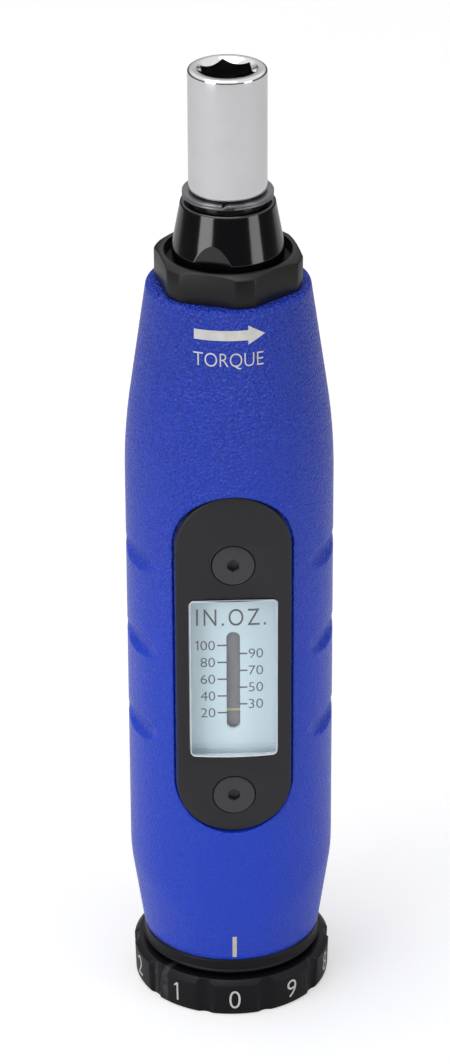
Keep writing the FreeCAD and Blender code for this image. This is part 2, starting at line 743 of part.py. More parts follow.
def make_output_spindle():
    """Cone with two wrench flats, a journal, the ring's neck and the bit holder's bore."""
    hex_foot = cam_foot + cam_web_thickness
    spindle = turned([
        (0, race_rear_foot), (journal_radius, race_rear_foot), (journal_radius, cone_foot),
        (cone_foot_radius, cone_foot), (cone_foot_radius, cone_foot + cone_straight),
        (cone_top_radius, cone_top - cone_top_chamfer), (cone_top_radius - cone_top_chamfer, cone_top),
        (neck_radius, cone_top), (neck_radius, neck_top), (0, neck_top),
    ])
    for turn in (wrench_flat_turn, wrench_flat_turn + 180):
        slab = Part.makeBox(cone_foot_radius, 4 * cone_foot_radius, cone_height,
                            V(wrench_flat_depth, -2 * cone_foot_radius, cone_foot))
        slab.rotate(V(0, 0, 0), Z_AXIS, turn)
        spindle = spindle.cut(slab)
    spindle = spindle.fuse(hexagon(cam_hex_width, hex_foot, race_rear_foot))
    ring_top = neck_top - ring_top_gap
    ring_foot = ring_top - 2 * ring_thickness - ring_step
    cutters = [
        cylinder(holder_stem_radius + seat_gap, stem_foot - seat_gap, neck_top + overrun),
        cylinder(cam_screw_radius + seat_gap, hex_foot - overrun, cam_foot + cam_screw_reach + overrun),
        tube(ring_groove_radius, neck_radius + overrun, ring_foot - seat_gap, ring_top + seat_gap),
    ]
    return spindle.cut(cutters)


def make_retaining_ring():
    """Flat ring wound in two turns, joined where one turn passes to the next."""
    top = neck_top - ring_top_gap
    middle = top - ring_thickness
    foot = middle - ring_thickness - ring_step
    gap = ring_end_gap
    lower = ring_arc(foot, foot + ring_thickness, ring_end_turn + gap, 360 - gap)
    upper = ring_arc(middle, top, ring_end_turn, 360 - gap)
    joint = ring_arc(foot, top, ring_end_turn - gap, gap)
    return lower.fuse([upper, joint]).removeSplitter()


def ring_arc(z_low, z_high, first, sweep):
    """Part of the retaining ring between two heights, from an angle through a sweep."""
    inner = ring_groove_radius + seat_gap
    corners = [(inner, z_low), (ring_radius, z_low), (ring_radius, z_high), (inner, z_high)]
    outline = [V(r, 0, z) for r, z in corners]
    wire = Part.makePolygon(outline + outline[:1])
    part = Part.Face(wire).revolve(V(0, 0, 0), Z_AXIS, sweep)
    part.rotate(V(0, 0, 0), Z_AXIS, first)
    return part


def make_bit_holder():
    """Chrome holder: a hex socket above, and a stem pressed into the spindle below."""
    foot = neck_top
    holder = turned([
        (0, stem_foot), (holder_stem_radius, stem_foot), (holder_stem_radius, foot),
        (holder_radius - holder_foot_chamfer, foot), (holder_radius, foot + holder_foot_chamfer),
        (holder_radius, holder_top - holder_top_chamfer),
        (holder_radius - holder_top_chamfer, holder_top), (0, holder_top),
    ])
    lead_in = Part.makeCone(hex_mouth_radius - hex_mouth_depth, hex_mouth_radius, hex_mouth_depth,
                            V(0, 0, holder_top - hex_mouth_depth), Z_AXIS)
    cutters = [
        hexagon(hex_width, hex_floor, holder_top + overrun, hex_turn),
        lead_in,
        cylinder(magnet_radius + seat_gap, hex_floor - magnet_height - seat_gap, hex_floor + seat_gap),
    ]
    return holder.cut(cutters)


# ---------------------------------------------------------------- all pieces
def build_pieces():
    """Every piece by its node name."""
    cup_floor_top = cup_foot + cup_floor
    return {
        "setting_dial": make_setting_dial(),
        "adjusting_screw": make_adjusting_screw(),
        "dial_screw": make_dial_screw(),
        "screw_retainer": make_retainer(),
        "dial_washer": tube(screw_journal_radius + sliding_gap, dial_washer_radius,
                            dial_height, collar_foot),
        "base_collar": make_base_collar(),
        "thrust_washer": tube(screw_journal_radius + sliding_gap, thrust_washer_radius,
                              collar_plug_top, thrust_washer_top),
        "click_ball": make_click_ball(),
        "click_spring": make_click_spring(),
        "handle_body": make_handle_body(),
        "bezel_plate": make_bezel_plate(),
        "bezel_screw_lower": make_bezel_screw(bezel_screw_heights[0]),
        "bezel_screw_upper": make_bezel_screw(bezel_screw_heights[1]),
        "window_lens": make_window_lens(),
        "scale_plate": make_scale_plate(),
        "spring_cup": make_spring_cup(),
        "indicator_ring": make_indicator_ring(),
        "seat_pin": make_seat_pin(),
        "main_spring": coil(spring_wire / 2, spring_mean_radius, cup_floor_top, spring_washer_foot,
                            spring_turns),
        "spring_washer": tube(spring_washer_bore, cup_bore_radius, spring_washer_foot, carrier_foot),
        "ball_carrier": make_ball_carrier(),
        "carrier_pin_left": make_carrier_pin(-1),
        "carrier_pin_right": make_carrier_pin(1),
        "clutch_balls": make_clutch_balls(),
        "cam_plate": make_cam_plate(),
        "cam_screw": make_cam_screw(),
        "thrust_race_rear": race(race_rear_foot, race_rear_top, journal_radius + seat_gap),
        "thrust_balls": make_thrust_balls(),
        "thrust_race_front": race(race_front_foot, nut_stem_foot, journal_radius + trim_gap),
        "spindle_bushing": tube(journal_radius + running_gap, nut_bore_radius - seat_gap,
                                nut_mouth_foot - bushing_length, nut_mouth_foot),
        "spindle_seal": tube(journal_radius + sliding_gap, nut_mouth_radius - seat_gap,
                             nut_mouth_foot, seal_top),
        "front_nut": make_front_nut(),
        "output_spindle": make_output_spindle(),
        "retaining_ring": make_retaining_ring(),
        "bit_holder": make_bit_holder(),
        "bit_magnet": cylinder(magnet_radius, hex_floor - magnet_height, hex_floor),
    }


os.makedirs("parts", exist_ok=True)
for node, shape in build_pieces().items():
    shape.exportStep("parts/" + node + ".step")
    print(node, "valid" if shape.isValid() else "NOT VALID", len(shape.Solids), round(shape.Volume, 2))
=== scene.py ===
"""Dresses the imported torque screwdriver: its outer pieces, finishes, floor, light and camera.

Lengths in this file are millimetres, and become metres where a mesh is made. The tool stands on its
setting dial with its axis on +Z, and its window faces -Y. A turn is an angle round the axis from the
front, positive towards +X.
"""

import json
import logging
import math
from dataclasses import dataclass, field
from enum import Enum
from typing import Callable, Iterable, Optional, Sequence

import bmesh
import bpy
import numpy as np
from mathutils import Matrix, Vector
from mathutils.geometry import tessellate_polygon


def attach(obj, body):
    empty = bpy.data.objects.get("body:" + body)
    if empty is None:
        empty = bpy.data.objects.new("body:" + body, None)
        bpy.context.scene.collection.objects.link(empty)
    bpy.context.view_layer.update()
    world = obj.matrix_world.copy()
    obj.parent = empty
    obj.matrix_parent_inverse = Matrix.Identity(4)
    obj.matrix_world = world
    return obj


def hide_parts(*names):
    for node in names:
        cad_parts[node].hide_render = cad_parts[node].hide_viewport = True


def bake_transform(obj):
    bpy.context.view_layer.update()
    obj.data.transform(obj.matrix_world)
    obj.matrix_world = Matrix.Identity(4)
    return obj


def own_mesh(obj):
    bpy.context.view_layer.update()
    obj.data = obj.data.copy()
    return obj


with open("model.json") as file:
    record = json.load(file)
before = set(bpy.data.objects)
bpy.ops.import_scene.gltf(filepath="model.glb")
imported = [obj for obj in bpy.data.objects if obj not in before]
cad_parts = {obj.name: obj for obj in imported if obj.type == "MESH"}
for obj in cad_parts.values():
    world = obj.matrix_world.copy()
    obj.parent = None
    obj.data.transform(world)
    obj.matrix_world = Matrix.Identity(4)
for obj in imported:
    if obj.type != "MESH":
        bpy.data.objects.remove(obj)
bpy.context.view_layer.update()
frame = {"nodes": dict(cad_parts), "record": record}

MM = 0.001
LOG = logging.getLogger("torque_screwdriver")
Array = np.ndarray


# ---------------------------------------------------------------- forms
def soft_min(a: Array, b: Array, width: float) -> Array:
    """Smaller of two distances, with the corner between them rounded over a width.

    The smaller value less a quarter of width times h squared, where h falls from 1 where the two are
    equal to 0 where they differ by the width.

    Args:
        a: first distance.
        b: second distance.
        width: difference over which the two run into each other.

    Returns:
        The blended distance.
    """
    h = np.clip(1.0 - np.abs(a - b) / width, 0.0, 1.0)
    return np.minimum(a, b) - h * h * width / 4.0


def on_axis(reach: Array, turn: Array, height: Array) -> Array:
    """Points at a reach from the axis, a turn from the front and a height.

    x is reach times the sine of the turn, and y is minus reach times its cosine.

    Args:
        reach: distances from the axis.
        turn: angles from the front, in radians.
        height: heights.

    Returns:
        Array of points with one more axis, of length 3.
    """
    reach, turn, height = np.broadcast_arrays(reach, turn, height)
    return np.stack([reach * np.sin(turn), -reach * np.cos(turn), height], axis=-1)


def full_turn(count: int, start: float = 0.0) -> Array:
    """Evenly spaced angles of one turn, without the last."""
    return math.radians(start) + np.arange(count) * (2 * math.pi / count)


def arc(centre: tuple[float, float], radius: float, first: float, last: float, count: int) -> Array:
    """Points of an arc in a (reach, height) outline.

    Args:
        centre: reach and height of the arc's centre.
        radius: its radius.
        first: first angle in degrees, from the outward direction towards +Z.
        last: last angle in degrees.
        count: how many points.

    Returns:
        (count, 2) array of reach and height.
    """
    angle = np.radians(np.linspace(first, last, count))
    return np.stack([centre[0] + radius * np.cos(angle), centre[1] + radius * np.sin(angle)], axis=-1)


def spread(points: Sequence[tuple[float, float]], pitch: float) -> Array:
    """Points set along straight runs no further apart than a pitch, the last one left out."""
    ends = np.asarray(points, float)
    steps = np.maximum(1, np.ceil(np.linalg.norm(np.diff(ends, axis=0), axis=1) / pitch)).astype(int)
    runs = [ends[k] + np.linspace(0, 1, n, endpoint=False)[:, None] * (ends[k + 1] - ends[k])
            for k, n in enumerate(steps)]
    return np.concatenate(runs)


def softened(points: Sequence[tuple[float, float, float]], steps: int = 4) -> Array:
    """Closed (reach, height) outline whose corners are rounded.

    Each corner is a quadratic curve that starts and ends at its rounding distance along the two sides:
    the square of (1 - t) of the start, twice t (1 - t) of the corner, and t squared of the end.

    Args:
        points: (reach, height, rounding) of each corner. A rounding of 0 keeps it sharp.
        steps: parts of each rounded corner.

    Returns:
        (n, 2) array of reach and height.
    """
    table = np.asarray(points, float)
    here, size = table[:, :2], table[:, 2:]
    before, after = np.roll(here, 1, axis=0), np.roll(here, -1, axis=0)
    back = before - here
    ahead = after - here
    start = here + back / np.linalg.norm(back, axis=1)[:, None] * size
    end = here + ahead / np.linalg.norm(ahead, axis=1)[:, None] * size
    t = np.linspace(0, 1, steps + 1)[None, :, None]
    curve = (1 - t) ** 2 * start[:, None] + 2 * t * (1 - t) * here[:, None] + t ** 2 * end[:, None]
    kept = np.ones(curve.shape[:2], bool)
    kept[table[:, 2] == 0, 1:] = False
    return curve[kept]


def obround(half: float, low: float, high: float, count: int = 48) -> Array:
    """Loop of (x, z) points of an upright obround, anticlockwise as seen from the front.

    Args:
        half: half the width, and the radius of both ends.
        low: lowest height.
        high: highest height.
        count: points in each half circle.

    Returns:
        (2 * count, 2) array.
    """
    return np.concatenate([arc((0, high - half), half, 0, 180, count),
                           arc((0, low + half), half, 180, 360, count)])


def rounded_box(half: float, low: float, high: float, corner: float, count: int = 7) -> Array:
    """Loop of (x, z) points of a rectangle with rounded corners, anticlockwise from the upper right."""
    x, top, foot = half - corner, high - corner, low + corner
    centres = ((x, top), (-x, top), (-x, foot), (x, foot))
    return np.concatenate([arc(centre, corner, 90 * k, 90 * k + 90, count)
                           for k, centre in enumerate(centres)])


def past_flat(turn: Array, first: float) -> Array:
    """Angle from the nearest flat of a hexagon with one flat at a turn in degrees."""
    return np.mod(turn - math.radians(first) + math.pi / 6, math.pi / 3) - math.pi / 6


def eased(share: Array) -> Array:
    """Share held between 0 and 1 and eased at both ends: three times its square less twice its cube."""
    held = np.clip(share, 0, 1)
    return held * held * (3 - 2 * held)


def points_of(mesh: bpy.types.Mesh) -> Array:
    """(n, 3) array of a mesh's points."""
    flat = np.empty(len(mesh.vertices) * 3)
    mesh.vertices.foreach_get("co", flat)
    return flat.reshape(-1, 3)


def face_outwards(mesh: bpy.types.Mesh, merge: bool = False) -> None:
    """Turns the faces of a closed mesh outwards, after merging its doubles where that is asked."""
    shell = bmesh.new()
    shell.from_mesh(mesh)
    if merge:
        bmesh.ops.remove_doubles(shell, verts=shell.verts, dist=1e-7)
        bmesh.ops.dissolve_degenerate(shell, edges=shell.edges, dist=1e-7)
    bmesh.ops.recalc_face_normals(shell, faces=shell.faces)
    shell.to_mesh(mesh)
    shell.free()


@dataclass
class Skin:
    """Points and faces of one piece, gathered as whole arrays before its mesh is made.

    Attributes:
        points: blocks of points.
        faces: blocks of faces, each an array with 3 or 4 columns.
        count: how many points there are.
    """

    points: list[Array] = field(default_factory=list)
    faces: list[Array] = field(default_factory=list)
    count: int = 0

    def add(self, points: Array) -> Array:
        """Takes in points and returns their numbers in the same layout."""
        flat = np.asarray(points, float).reshape(-1, 3)
        numbers = np.arange(self.count, self.count + len(flat)).reshape(np.shape(points)[:-1])
        self.points.append(flat)
        self.count += len(flat)
        return numbers

    def front(self, outline: Array, depth: object) -> Array:
        """Takes in (x, z) points at a depth in front of the axis and returns their numbers."""
        y = -np.broadcast_to(depth, outline[:, 0].shape)
        return self.add(np.stack([outline[:, 0], y, outline[:, 1]], axis=-1))

    def at(self, numbers: Array) -> Array:
        """Places of the points with these numbers."""
        return np.concatenate(self.points)[numbers]

    def grid(self, numbers: Array, rows_close: bool = False, keep: Optional[Array] = None) -> None:
        """Joins a grid of points, closed along each row, with a four-sided face in each cell.

        Args:
            numbers: (rows, columns) point numbers.
            rows_close: whether the last row meets the first.
            keep: true for each cell that gets a face, or None for all.
        """
        numbers = np.concatenate([numbers, numbers[:, :1]], axis=1)
        if rows_close:
            numbers = np.concatenate([numbers, numbers[:1]])
        cells = np.stack([numbers[:-1, :-1], numbers[:-1, 1:], numbers[1:, 1:], numbers[1:, :-1]], axis=-1)
        self.faces.append(cells.reshape(-1, 4) if keep is None else cells[keep])

    def join(self, loops: Sequence[Array], ring: bool = False, capped: bool = False) -> None:
        """Joins loops of points in order.

        Args:
            loops: point numbers of each loop, all of one length.
            ring: whether the last loop meets the first.
            capped: whether the first and last loops are closed.
        """
        self.grid(np.stack(loops), ring)
        if capped:
            self.cap(loops[0])
            self.cap(loops[-1])

    def cap(self, loop: Array) -> None:
        """Closes a loop with triangles that meet in its middle."""
        hub = self.add(self.at(loop).mean(axis=0)[None])[0]
        self.faces.append(np.stack([loop, np.roll(loop, -1), np.full_like(loop, hub)], axis=-1))

    def bridge(self, first: Array, second: Array, middle: float) -> None:
        """Joins two loops round (0, middle), seen from the front, that have different numbers of points.

        Both loops are walked together in order of their angle. Each point reached closes a triangle with
        the point before it and the last point reached on the other loop.

        Args:
            first: point numbers of one loop.
            second: point numbers of the other loop.
            middle: height of the point that both go round.
        """
        angles = [np.mod(np.arctan2(place[:, 2] - middle, place[:, 0]), 2 * math.pi)
                  for place in (self.at(first), self.at(second))]
        loops = [first[np.argsort(angles[0])], second[np.argsort(angles[1])]]
        owner = np.repeat([0, 1], [len(first), len(second)])
        owner = owner[np.argsort(np.concatenate([np.sort(angle) for angle in angles]), kind="stable")]
        passed = [np.cumsum(owner == side) - 1 for side in (0, 1)]
        for side in (0, 1):
            mine, other = passed[side][owner == side], passed[1 - side][owner == side]
            face = np.stack([loops[side][mine - 1], loops[side][mine], loops[1 - side][other]], axis=-1)
            self.faces.append(face if side == 0 else face[:, ::-1])

    def fill(self, loops: Sequence[Array]) -> None:
        """Fills a flat region upright to the front: the first loop of points less the others."""
        corners = [[Vector((x, z, 0.0)) for x, z in self.at(loop)[:, [0, 2]]] for loop in loops]
        self.faces.append(np.concatenate(loops)[np.array(tessellate_polygon(corners))])

    def piece(self, name: str, crease: float = 40.0) -> bpy.types.Object:
        """Makes the object, with its faces outwards and its edges sharp past an angle.

        Args:
            name: name of the piece.
            crease: angle between faces in degrees past which an edge is sharp.

        Returns:
            The new object, at the origin.
        """
        mesh = bpy.data.meshes.new(name)
        sizes = np.concatenate([np.full(len(f), f.shape[1]) for f in self.faces])
        corners = np.concatenate([f.ravel() for f in self.faces])
        mesh.vertices.add(self.count)
        mesh.vertices.foreach_set("co", (np.concatenate(self.points) * MM).ravel())
        mesh.loops.add(len(corners))
        mesh.loops.foreach_set("vertex_index", corners)
        mesh.polygons.add(len(sizes))
        mesh.polygons.foreach_set("loop_start", np.cumsum(sizes) - sizes)
        mesh.update(calc_edges=True)
        face_outwards(mesh, merge=True)
        return placed(name, mesh, crease)


def placed(name: str, mesh: bpy.types.Mesh, crease: float = 40.0) -> bpy.types.Object:
    """Puts a finished mesh into the scene as a smooth-shaded object."""
    mesh.shade_smooth()
    mesh.set_sharp_from_angle(angle=math.radians(crease))
    piece = bpy.data.objects.new(name, mesh)
    bpy.context.scene.collection.objects.link(piece)
    return piece


def shaped(name: str, turn: Array, rows: Iterable[tuple[object, object]], crease: float,
           ring: bool = False) -> bpy.types.Object:
    """Piece whose rows go once round the axis: x is reach times sine, y minus reach times cosine.

    Args:
        name: name of the piece.
        turn: the turn of each column.
        rows: reach and height of each row, as numbers or as arrays with a value for each column.
        crease: sharp edge angle in degrees.
        ring: whether the last row meets the first. Otherwise both are closed.

    Returns:
        The new object.
    """
    skin = Skin()
    skin.join([skin.add(on_axis(reach, turn, height)) for reach, height in rows], ring, not ring)
    return skin.piece(name, crease)


# ---------------------------------------------------------------- node groups
class Graph:
    """Adds and joins the nodes of one tree."""

    def __init__(self, tree: bpy.types.NodeTree) -> None:
        """Takes the tree to work on."""
        self.tree = tree

    def node(self, kind: str, settings: Optional[dict] = None, **inputs: object) -> bpy.types.Node:
        """Adds a node.

        Args:
            kind: Blender's type of node, without its ShaderNode prefix.
            settings: values of the node's own properties.
            **inputs: a value or an output socket for each input, with _ for a space in its name.

        Returns:
            The new node.
        """
        made = self.tree.nodes.new("ShaderNode" + kind)
        for name, value in (settings or {}).items():
            setattr(made, name, value)
        for name, value in inputs.items():
            self.feed(made.inputs[int(name[1:]) if name[1:].isdigit() else name.replace("_", " ")], value)
        return made

    def feed(self, socket: bpy.types.NodeSocket, value: object) -> None:
        """Sets an input, or links an output to it."""
        if isinstance(value, bpy.types.NodeSocket):
            self.tree.links.new(value, socket)
        else:
            socket.default_value = value

    def maths(self, operation: str, a: object, b: object = 0.0, clamp: bool = False) -> bpy.types.NodeSocket:
        """Output of a Math node."""
        return self.node("Math", {"operation": operation, "use_clamp": clamp}, _0=a, _1=b).outputs[0]

    def ramp(self, value: object, low: float, high: float, to_low: float = 0.0, to_high: float = 1.0
             ) -> bpy.types.NodeSocket:
        """Output of a clamped Map Range node."""
        return self.node("MapRange", None, Value=value, From_Min=low, From_Max=high, To_Min=to_low,
                         To_Max=to_high).outputs[0]

    def blend(self, factor: object, a: object, b: object) -> bpy.types.NodeSocket:
        """Colour output of a Mix node."""
        mix = self.node("Mix", {"data_type": "RGBA"})
        for place, value in ((0, factor), (6, a), (7, b)):
            self.feed(mix.inputs[place], value)
        return mix.outputs[2]


class EffectGroup(Graph):
    """A shader node group in the making."""

    def __init__(self, name: str, outputs: Sequence[str], **inputs: float) -> None:
        """Makes the group's sockets.

        Args:
            name: its name.
            outputs: names of the numbers it gives.
            **inputs: name and default of each number it takes.
        """
        super().__init__(bpy.data.node_groups.new(name, "ShaderNodeTree"))
        for way, labels in (("INPUT", inputs), ("OUTPUT", outputs)):
            for label in labels:
                made = self.tree.interface.new_socket(name=label, in_out=way, socket_type="NodeSocketFloat")
                made.default_value = inputs.get(label, 0.0)
        self.given = self.tree.nodes.new("NodeGroupInput").outputs
        self.place = self.node("TexCoord").outputs["Object"]
        self.out = self.tree.nodes.new("NodeGroupOutput").inputs

    def noise(self, scale: object, detail: float, **more: object) -> bpy.types.Node:
        """Adds noise over the object's own coordinates.

        Args:
            scale: its scale, as a number or a socket.
            detail: its detail.
            **more: other inputs.

        Returns:
            The node.
        """
        return self.node("TexNoise", None, **{"Vector": self.place, "Scale": scale, "Detail": detail, **more})

    def give(self, **values: bpy.types.NodeSocket) -> bpy.types.NodeTree:
        """Links the group's outputs and returns its tree."""
        for name, value in values.items():
            self.feed(self.out[name], value)
        return self.tree


class Effects:
    """Node groups that several finishes share, each made once. Their sizes are in millimetres."""

    def __init__(self) -> None:
        """Makes the groups."""
        self.grain = self._grain()
        self.wear = self._wear()
        self.crinkle = self._crinkle()
        self.turning = self._turning()

    @staticmethod
    def _grain() -> bpy.types.NodeTree:
        """Fine grain: noise of a size, and a mottle about twelve times as large."""
        made = EffectGroup("fine_grain", ("Grain", "Mottle"), Size=0.1)
        scale = made.maths("DIVIDE", 1 / MM, made.given["Size"])
        coarse = made.maths("MULTIPLY", scale, 0.08)
        return made.give(Grain=made.noise(scale, 3.0, Roughness=0.6).outputs["Fac"],
                         Mottle=made.noise(coarse, 4.0, Roughness=0.55).outputs["Fac"])

    @staticmethod
    def _wear() -> bpy.types.NodeTree:
        """Edge wear: where the surface bends outwards, broken up by noise."""
        made = EffectGroup("edge_wear", ("Edge",), Start=0.55, End=0.7)
        bend = made.node("NewGeometry").outputs["Pointiness"]
        mask = made.ramp(bend, made.given["Start"], made.given["End"])
        broken = made.ramp(made.noise(900.0, 4.0).outputs["Fac"], 0.3, 0.6)
        return made.give(Edge=made.maths("MULTIPLY", mask, broken))

    @staticmethod
    def _crinkle() -> bpy.types.NodeTree:
        """Crinkled paint: rounded cells of a size, pushed about by noise, with a mask of the shade painted
        between them.
        """
        made = EffectGroup("crinkle", ("Height", "Valley"), Size=0.4)
        scale = made.maths("DIVIDE", 1 / MM, made.given["Size"])
        push = made.noise(made.maths("MULTIPLY", scale, 0.6), 2.0).outputs["Color"]
        drift = made.node("VectorMath", {"operation": "SCALE"}, Vector=push,
                          Scale=made.maths("DIVIDE", 0.9, scale))
        moved = made.node("VectorMath", {"operation": "ADD"}, _0=made.place, _1=drift.outputs[0])
        cells = made.node("TexVoronoi", {"feature": "SMOOTH_F1"}, Vector=moved.outputs[0], Scale=scale,
                          Smoothness=0.35)
        fine = made.noise(made.maths("MULTIPLY", scale, 1.9), 3.0).outputs["Fac"]
        dome = made.ramp(cells.outputs["Distance"], 0.15, 0.75, 1.0, 0.0)
        return made.give(Height=made.maths("ADD", dome, made.maths("MULTIPLY", fine, 0.7)),
                         Valley=made.maths("SUBTRACT", 1.0, dome))

    @staticmethod
    def _turning() -> bpy.types.NodeTree:
        """Marks of a lathe tool: fine uneven bands along Z."""
        made = EffectGroup("lathe_marks", ("Band",), Pitch=0.08)
        flat = made.node("VectorMath", {"operation": "MULTIPLY"}, _0=made.place, _1=(0.02, 0.02, 1.0))
        scale = made.maths("DIVIDE", 1 / MM, made.given["Pitch"])
        return made.give(Band=made.noise(scale, 2.0, Vector=flat.outputs[0]).outputs["Fac"])


class Finish:
    """One finish: a material that is made the first time it is asked for."""

    def __init__(self, name: str) -> None:
        """Starts an empty material with a Principled shader.

        Args:
            name: name of the material.
        """
        self.material = bpy.data.materials.new(name)
        self.material.use_nodes = True
        self.graph = Graph(self.material.node_tree)
        self.shader = self.material.node_tree.nodes["Principled BSDF"]

    def group(self, tree: bpy.types.NodeTree, **inputs: float) -> bpy.types.Node:
        """Places a shared node group."""
        made = self.graph.node("Group", {"node_tree": tree})
        for name, value in inputs.items():
            made.inputs[name].default_value = value
        return made

    def bump(self, height: bpy.types.NodeSocket, strength: float, depth: float) -> None:
        """Feeds the shader's Normal from a height.

        Args:
            height: the height, from 0 to 1.
            strength: share of the effect.
            depth: real height of 1, in millimetres.
        """
        made = self.graph.node("Bump", None, Strength=strength, Distance=depth * MM, Height=height)
        self.graph.feed(self.shader.inputs["Normal"], made.outputs["Normal"])

    def set(self, **inputs: object) -> None:
        """Sets or links inputs of the shader."""
        for name, value in inputs.items():
            self.graph.feed(self.shader.inputs[name.replace("_", " ")], value)


def colour(red: int, green: int, blue: int) -> tuple[float, float, float, float]:
    """Shader colour of a display colour given from 0 to 255 a channel."""
    shown = [c / 255 for c in (red, green, blue)]
    linear = [c / 12.92 if c <= 0.04045 else ((c + 0.055) / 1.055) ** 2.4 for c in shown]
    return (*linear, 1.0)


@dataclass(frozen=True)
class Paint:
    """Crinkled enamel on the handle: cells whose relief, and the shade painted between them, thin out lower
    down the grip.

    Attributes:
        body: display colour.
        crease_shade: display colour of the painted shade between the cells.
        rough: lowest and highest roughness.
        contrast: how much of the painted shade between the cells shows.
        relief: height of the cells in millimetres.
        relief_and_shade_heights: heights in metres between which the cells' relief and the painted shade
            between them fade out, going down.
    """

    body: tuple = (22, 66, 208)
    crease_shade: tuple = (16, 36, 140)
    rough: tuple = (0.22, 0.34)
    contrast: float = 0.6
    relief: float = 0.26
    relief_and_shade_heights: tuple = (0.055, 0.098)

    def make(self, name: str, effects: Effects) -> bpy.types.Material:
        """Returns the material."""
        made = Finish(name)
        graph = made.graph
        cells = made.group(effects.crinkle, Size=0.42)
        grain = made.group(effects.grain, Size=0.16)
        height = graph.node("SeparateXYZ", None, Vector=graph.node("TexCoord").outputs["Object"]).outputs["Z"]
        # Full relief and painted shade on the upper taper, falling to 0.22 of it low on the grip.
        coarse = graph.ramp(height, *self.relief_and_shade_heights, 0.22, 1.0)
        crease_shade = graph.maths("MULTIPLY", cells.outputs["Valley"], coarse)
        # The darker blend between the cells is painted shade in the creases, and with the fade above it also
        # paints the upper taper darker than the grip.
        made.set(Base_Color=graph.blend(graph.maths("MULTIPLY", crease_shade, self.contrast),
                                        colour(*self.body), colour(*self.crease_shade)),
                 Roughness=graph.ramp(grain.outputs["Grain"], 0.3, 0.7, *self.rough),
                 Specular_IOR_Level=0.45)
        made.bump(graph.maths("MULTIPLY", cells.outputs["Height"], coarse), 1.0, self.relief)
        return made.material


@dataclass(frozen=True)
class Metal:
    """Bare or plated metal with faint tool marks.

    Attributes:
        tint: display colour.
        rough: lowest and highest roughness.
        marks: depth of the tool marks in millimetres.
        pitch: their spacing in millimetres.
    """

    tint: tuple = (200, 200, 200)
    rough: tuple = (0.15, 0.25)
    marks: float = 0.001
    pitch: float = 0.08

    def make(self, name: str, effects: Effects) -> bpy.types.Material:
        """Returns the material."""
        made = Finish(name)
        graph = made.graph
        mottle = made.group(effects.grain, Size=0.3).outputs["Mottle"]
        dull = tuple(0.86 * c for c in self.tint)
        shade = graph.blend(graph.maths("MULTIPLY", mottle, 0.5), colour(*self.tint), colour(*dull))
        made.set(Base_Color=shade, Metallic=1.0, Roughness=graph.ramp(mottle, 0.3, 0.7, *self.rough))
        made.bump(made.group(effects.turning, Pitch=self.pitch).outputs["Band"], 0.6, self.marks)
        return made.material


@dataclass(frozen=True)
class Coating:
    """Dark or coloured coating: anodising, oxide, enamel, moulded plastic or rubber.

    Attributes:
        tint: display colour.
        rough: lowest and highest roughness.
        worn: display colour where edges are rubbed.
        wear: how much of the worn colour shows there.
        grain: size of the grain in millimetres.
        depth: height of the grain in millimetres.
        gloss: specular level.
    """

    tint: tuple = (30, 30, 34)
    rough: tuple = (0.35, 0.5)
    worn: tuple = (90, 90, 96)
    wear: float = 0.3
    grain: float = 0.12
    depth: float = 0.006
    gloss: float = 0.5

    def make(self, name: str, effects: Effects) -> bpy.types.Material:
        """Returns the material."""
        made = Finish(name)
        graph = made.graph
        grain = made.group(effects.grain, Size=self.grain)
        deep = tuple(0.8 * c for c in self.tint)
        base = graph.blend(grain.outputs["Mottle"], colour(*self.tint), colour(*deep))
        rubbed = graph.maths("MULTIPLY", made.group(effects.wear).outputs["Edge"], self.wear)
        made.set(Base_Color=graph.blend(rubbed, base, colour(*self.worn)),
                 Roughness=graph.ramp(grain.outputs["Grain"], 0.3, 0.7, *self.rough),
                 Specular_IOR_Level=self.gloss)
        made.bump(grain.outputs["Grain"], 0.7, self.depth)
        return made.material


@dataclass(frozen=True)
class ClearPlastic:
    """Clear acrylic of the lens."""

    tint: tuple = (250, 254, 255)

    def make(self, name: str, effects: Effects) -> bpy.types.Material:
        """Returns the material."""
        made = Finish(name)
        mottle = made.group(effects.grain, Size=0.5).outputs["Mottle"]
        made.set(Base_Color=colour(*self.tint), IOR=1.49, Transmission_Weight=1.0,
                 Roughness=made.graph.ramp(mottle, 0.3, 0.7, 0.0, 0.03))
        return made.material


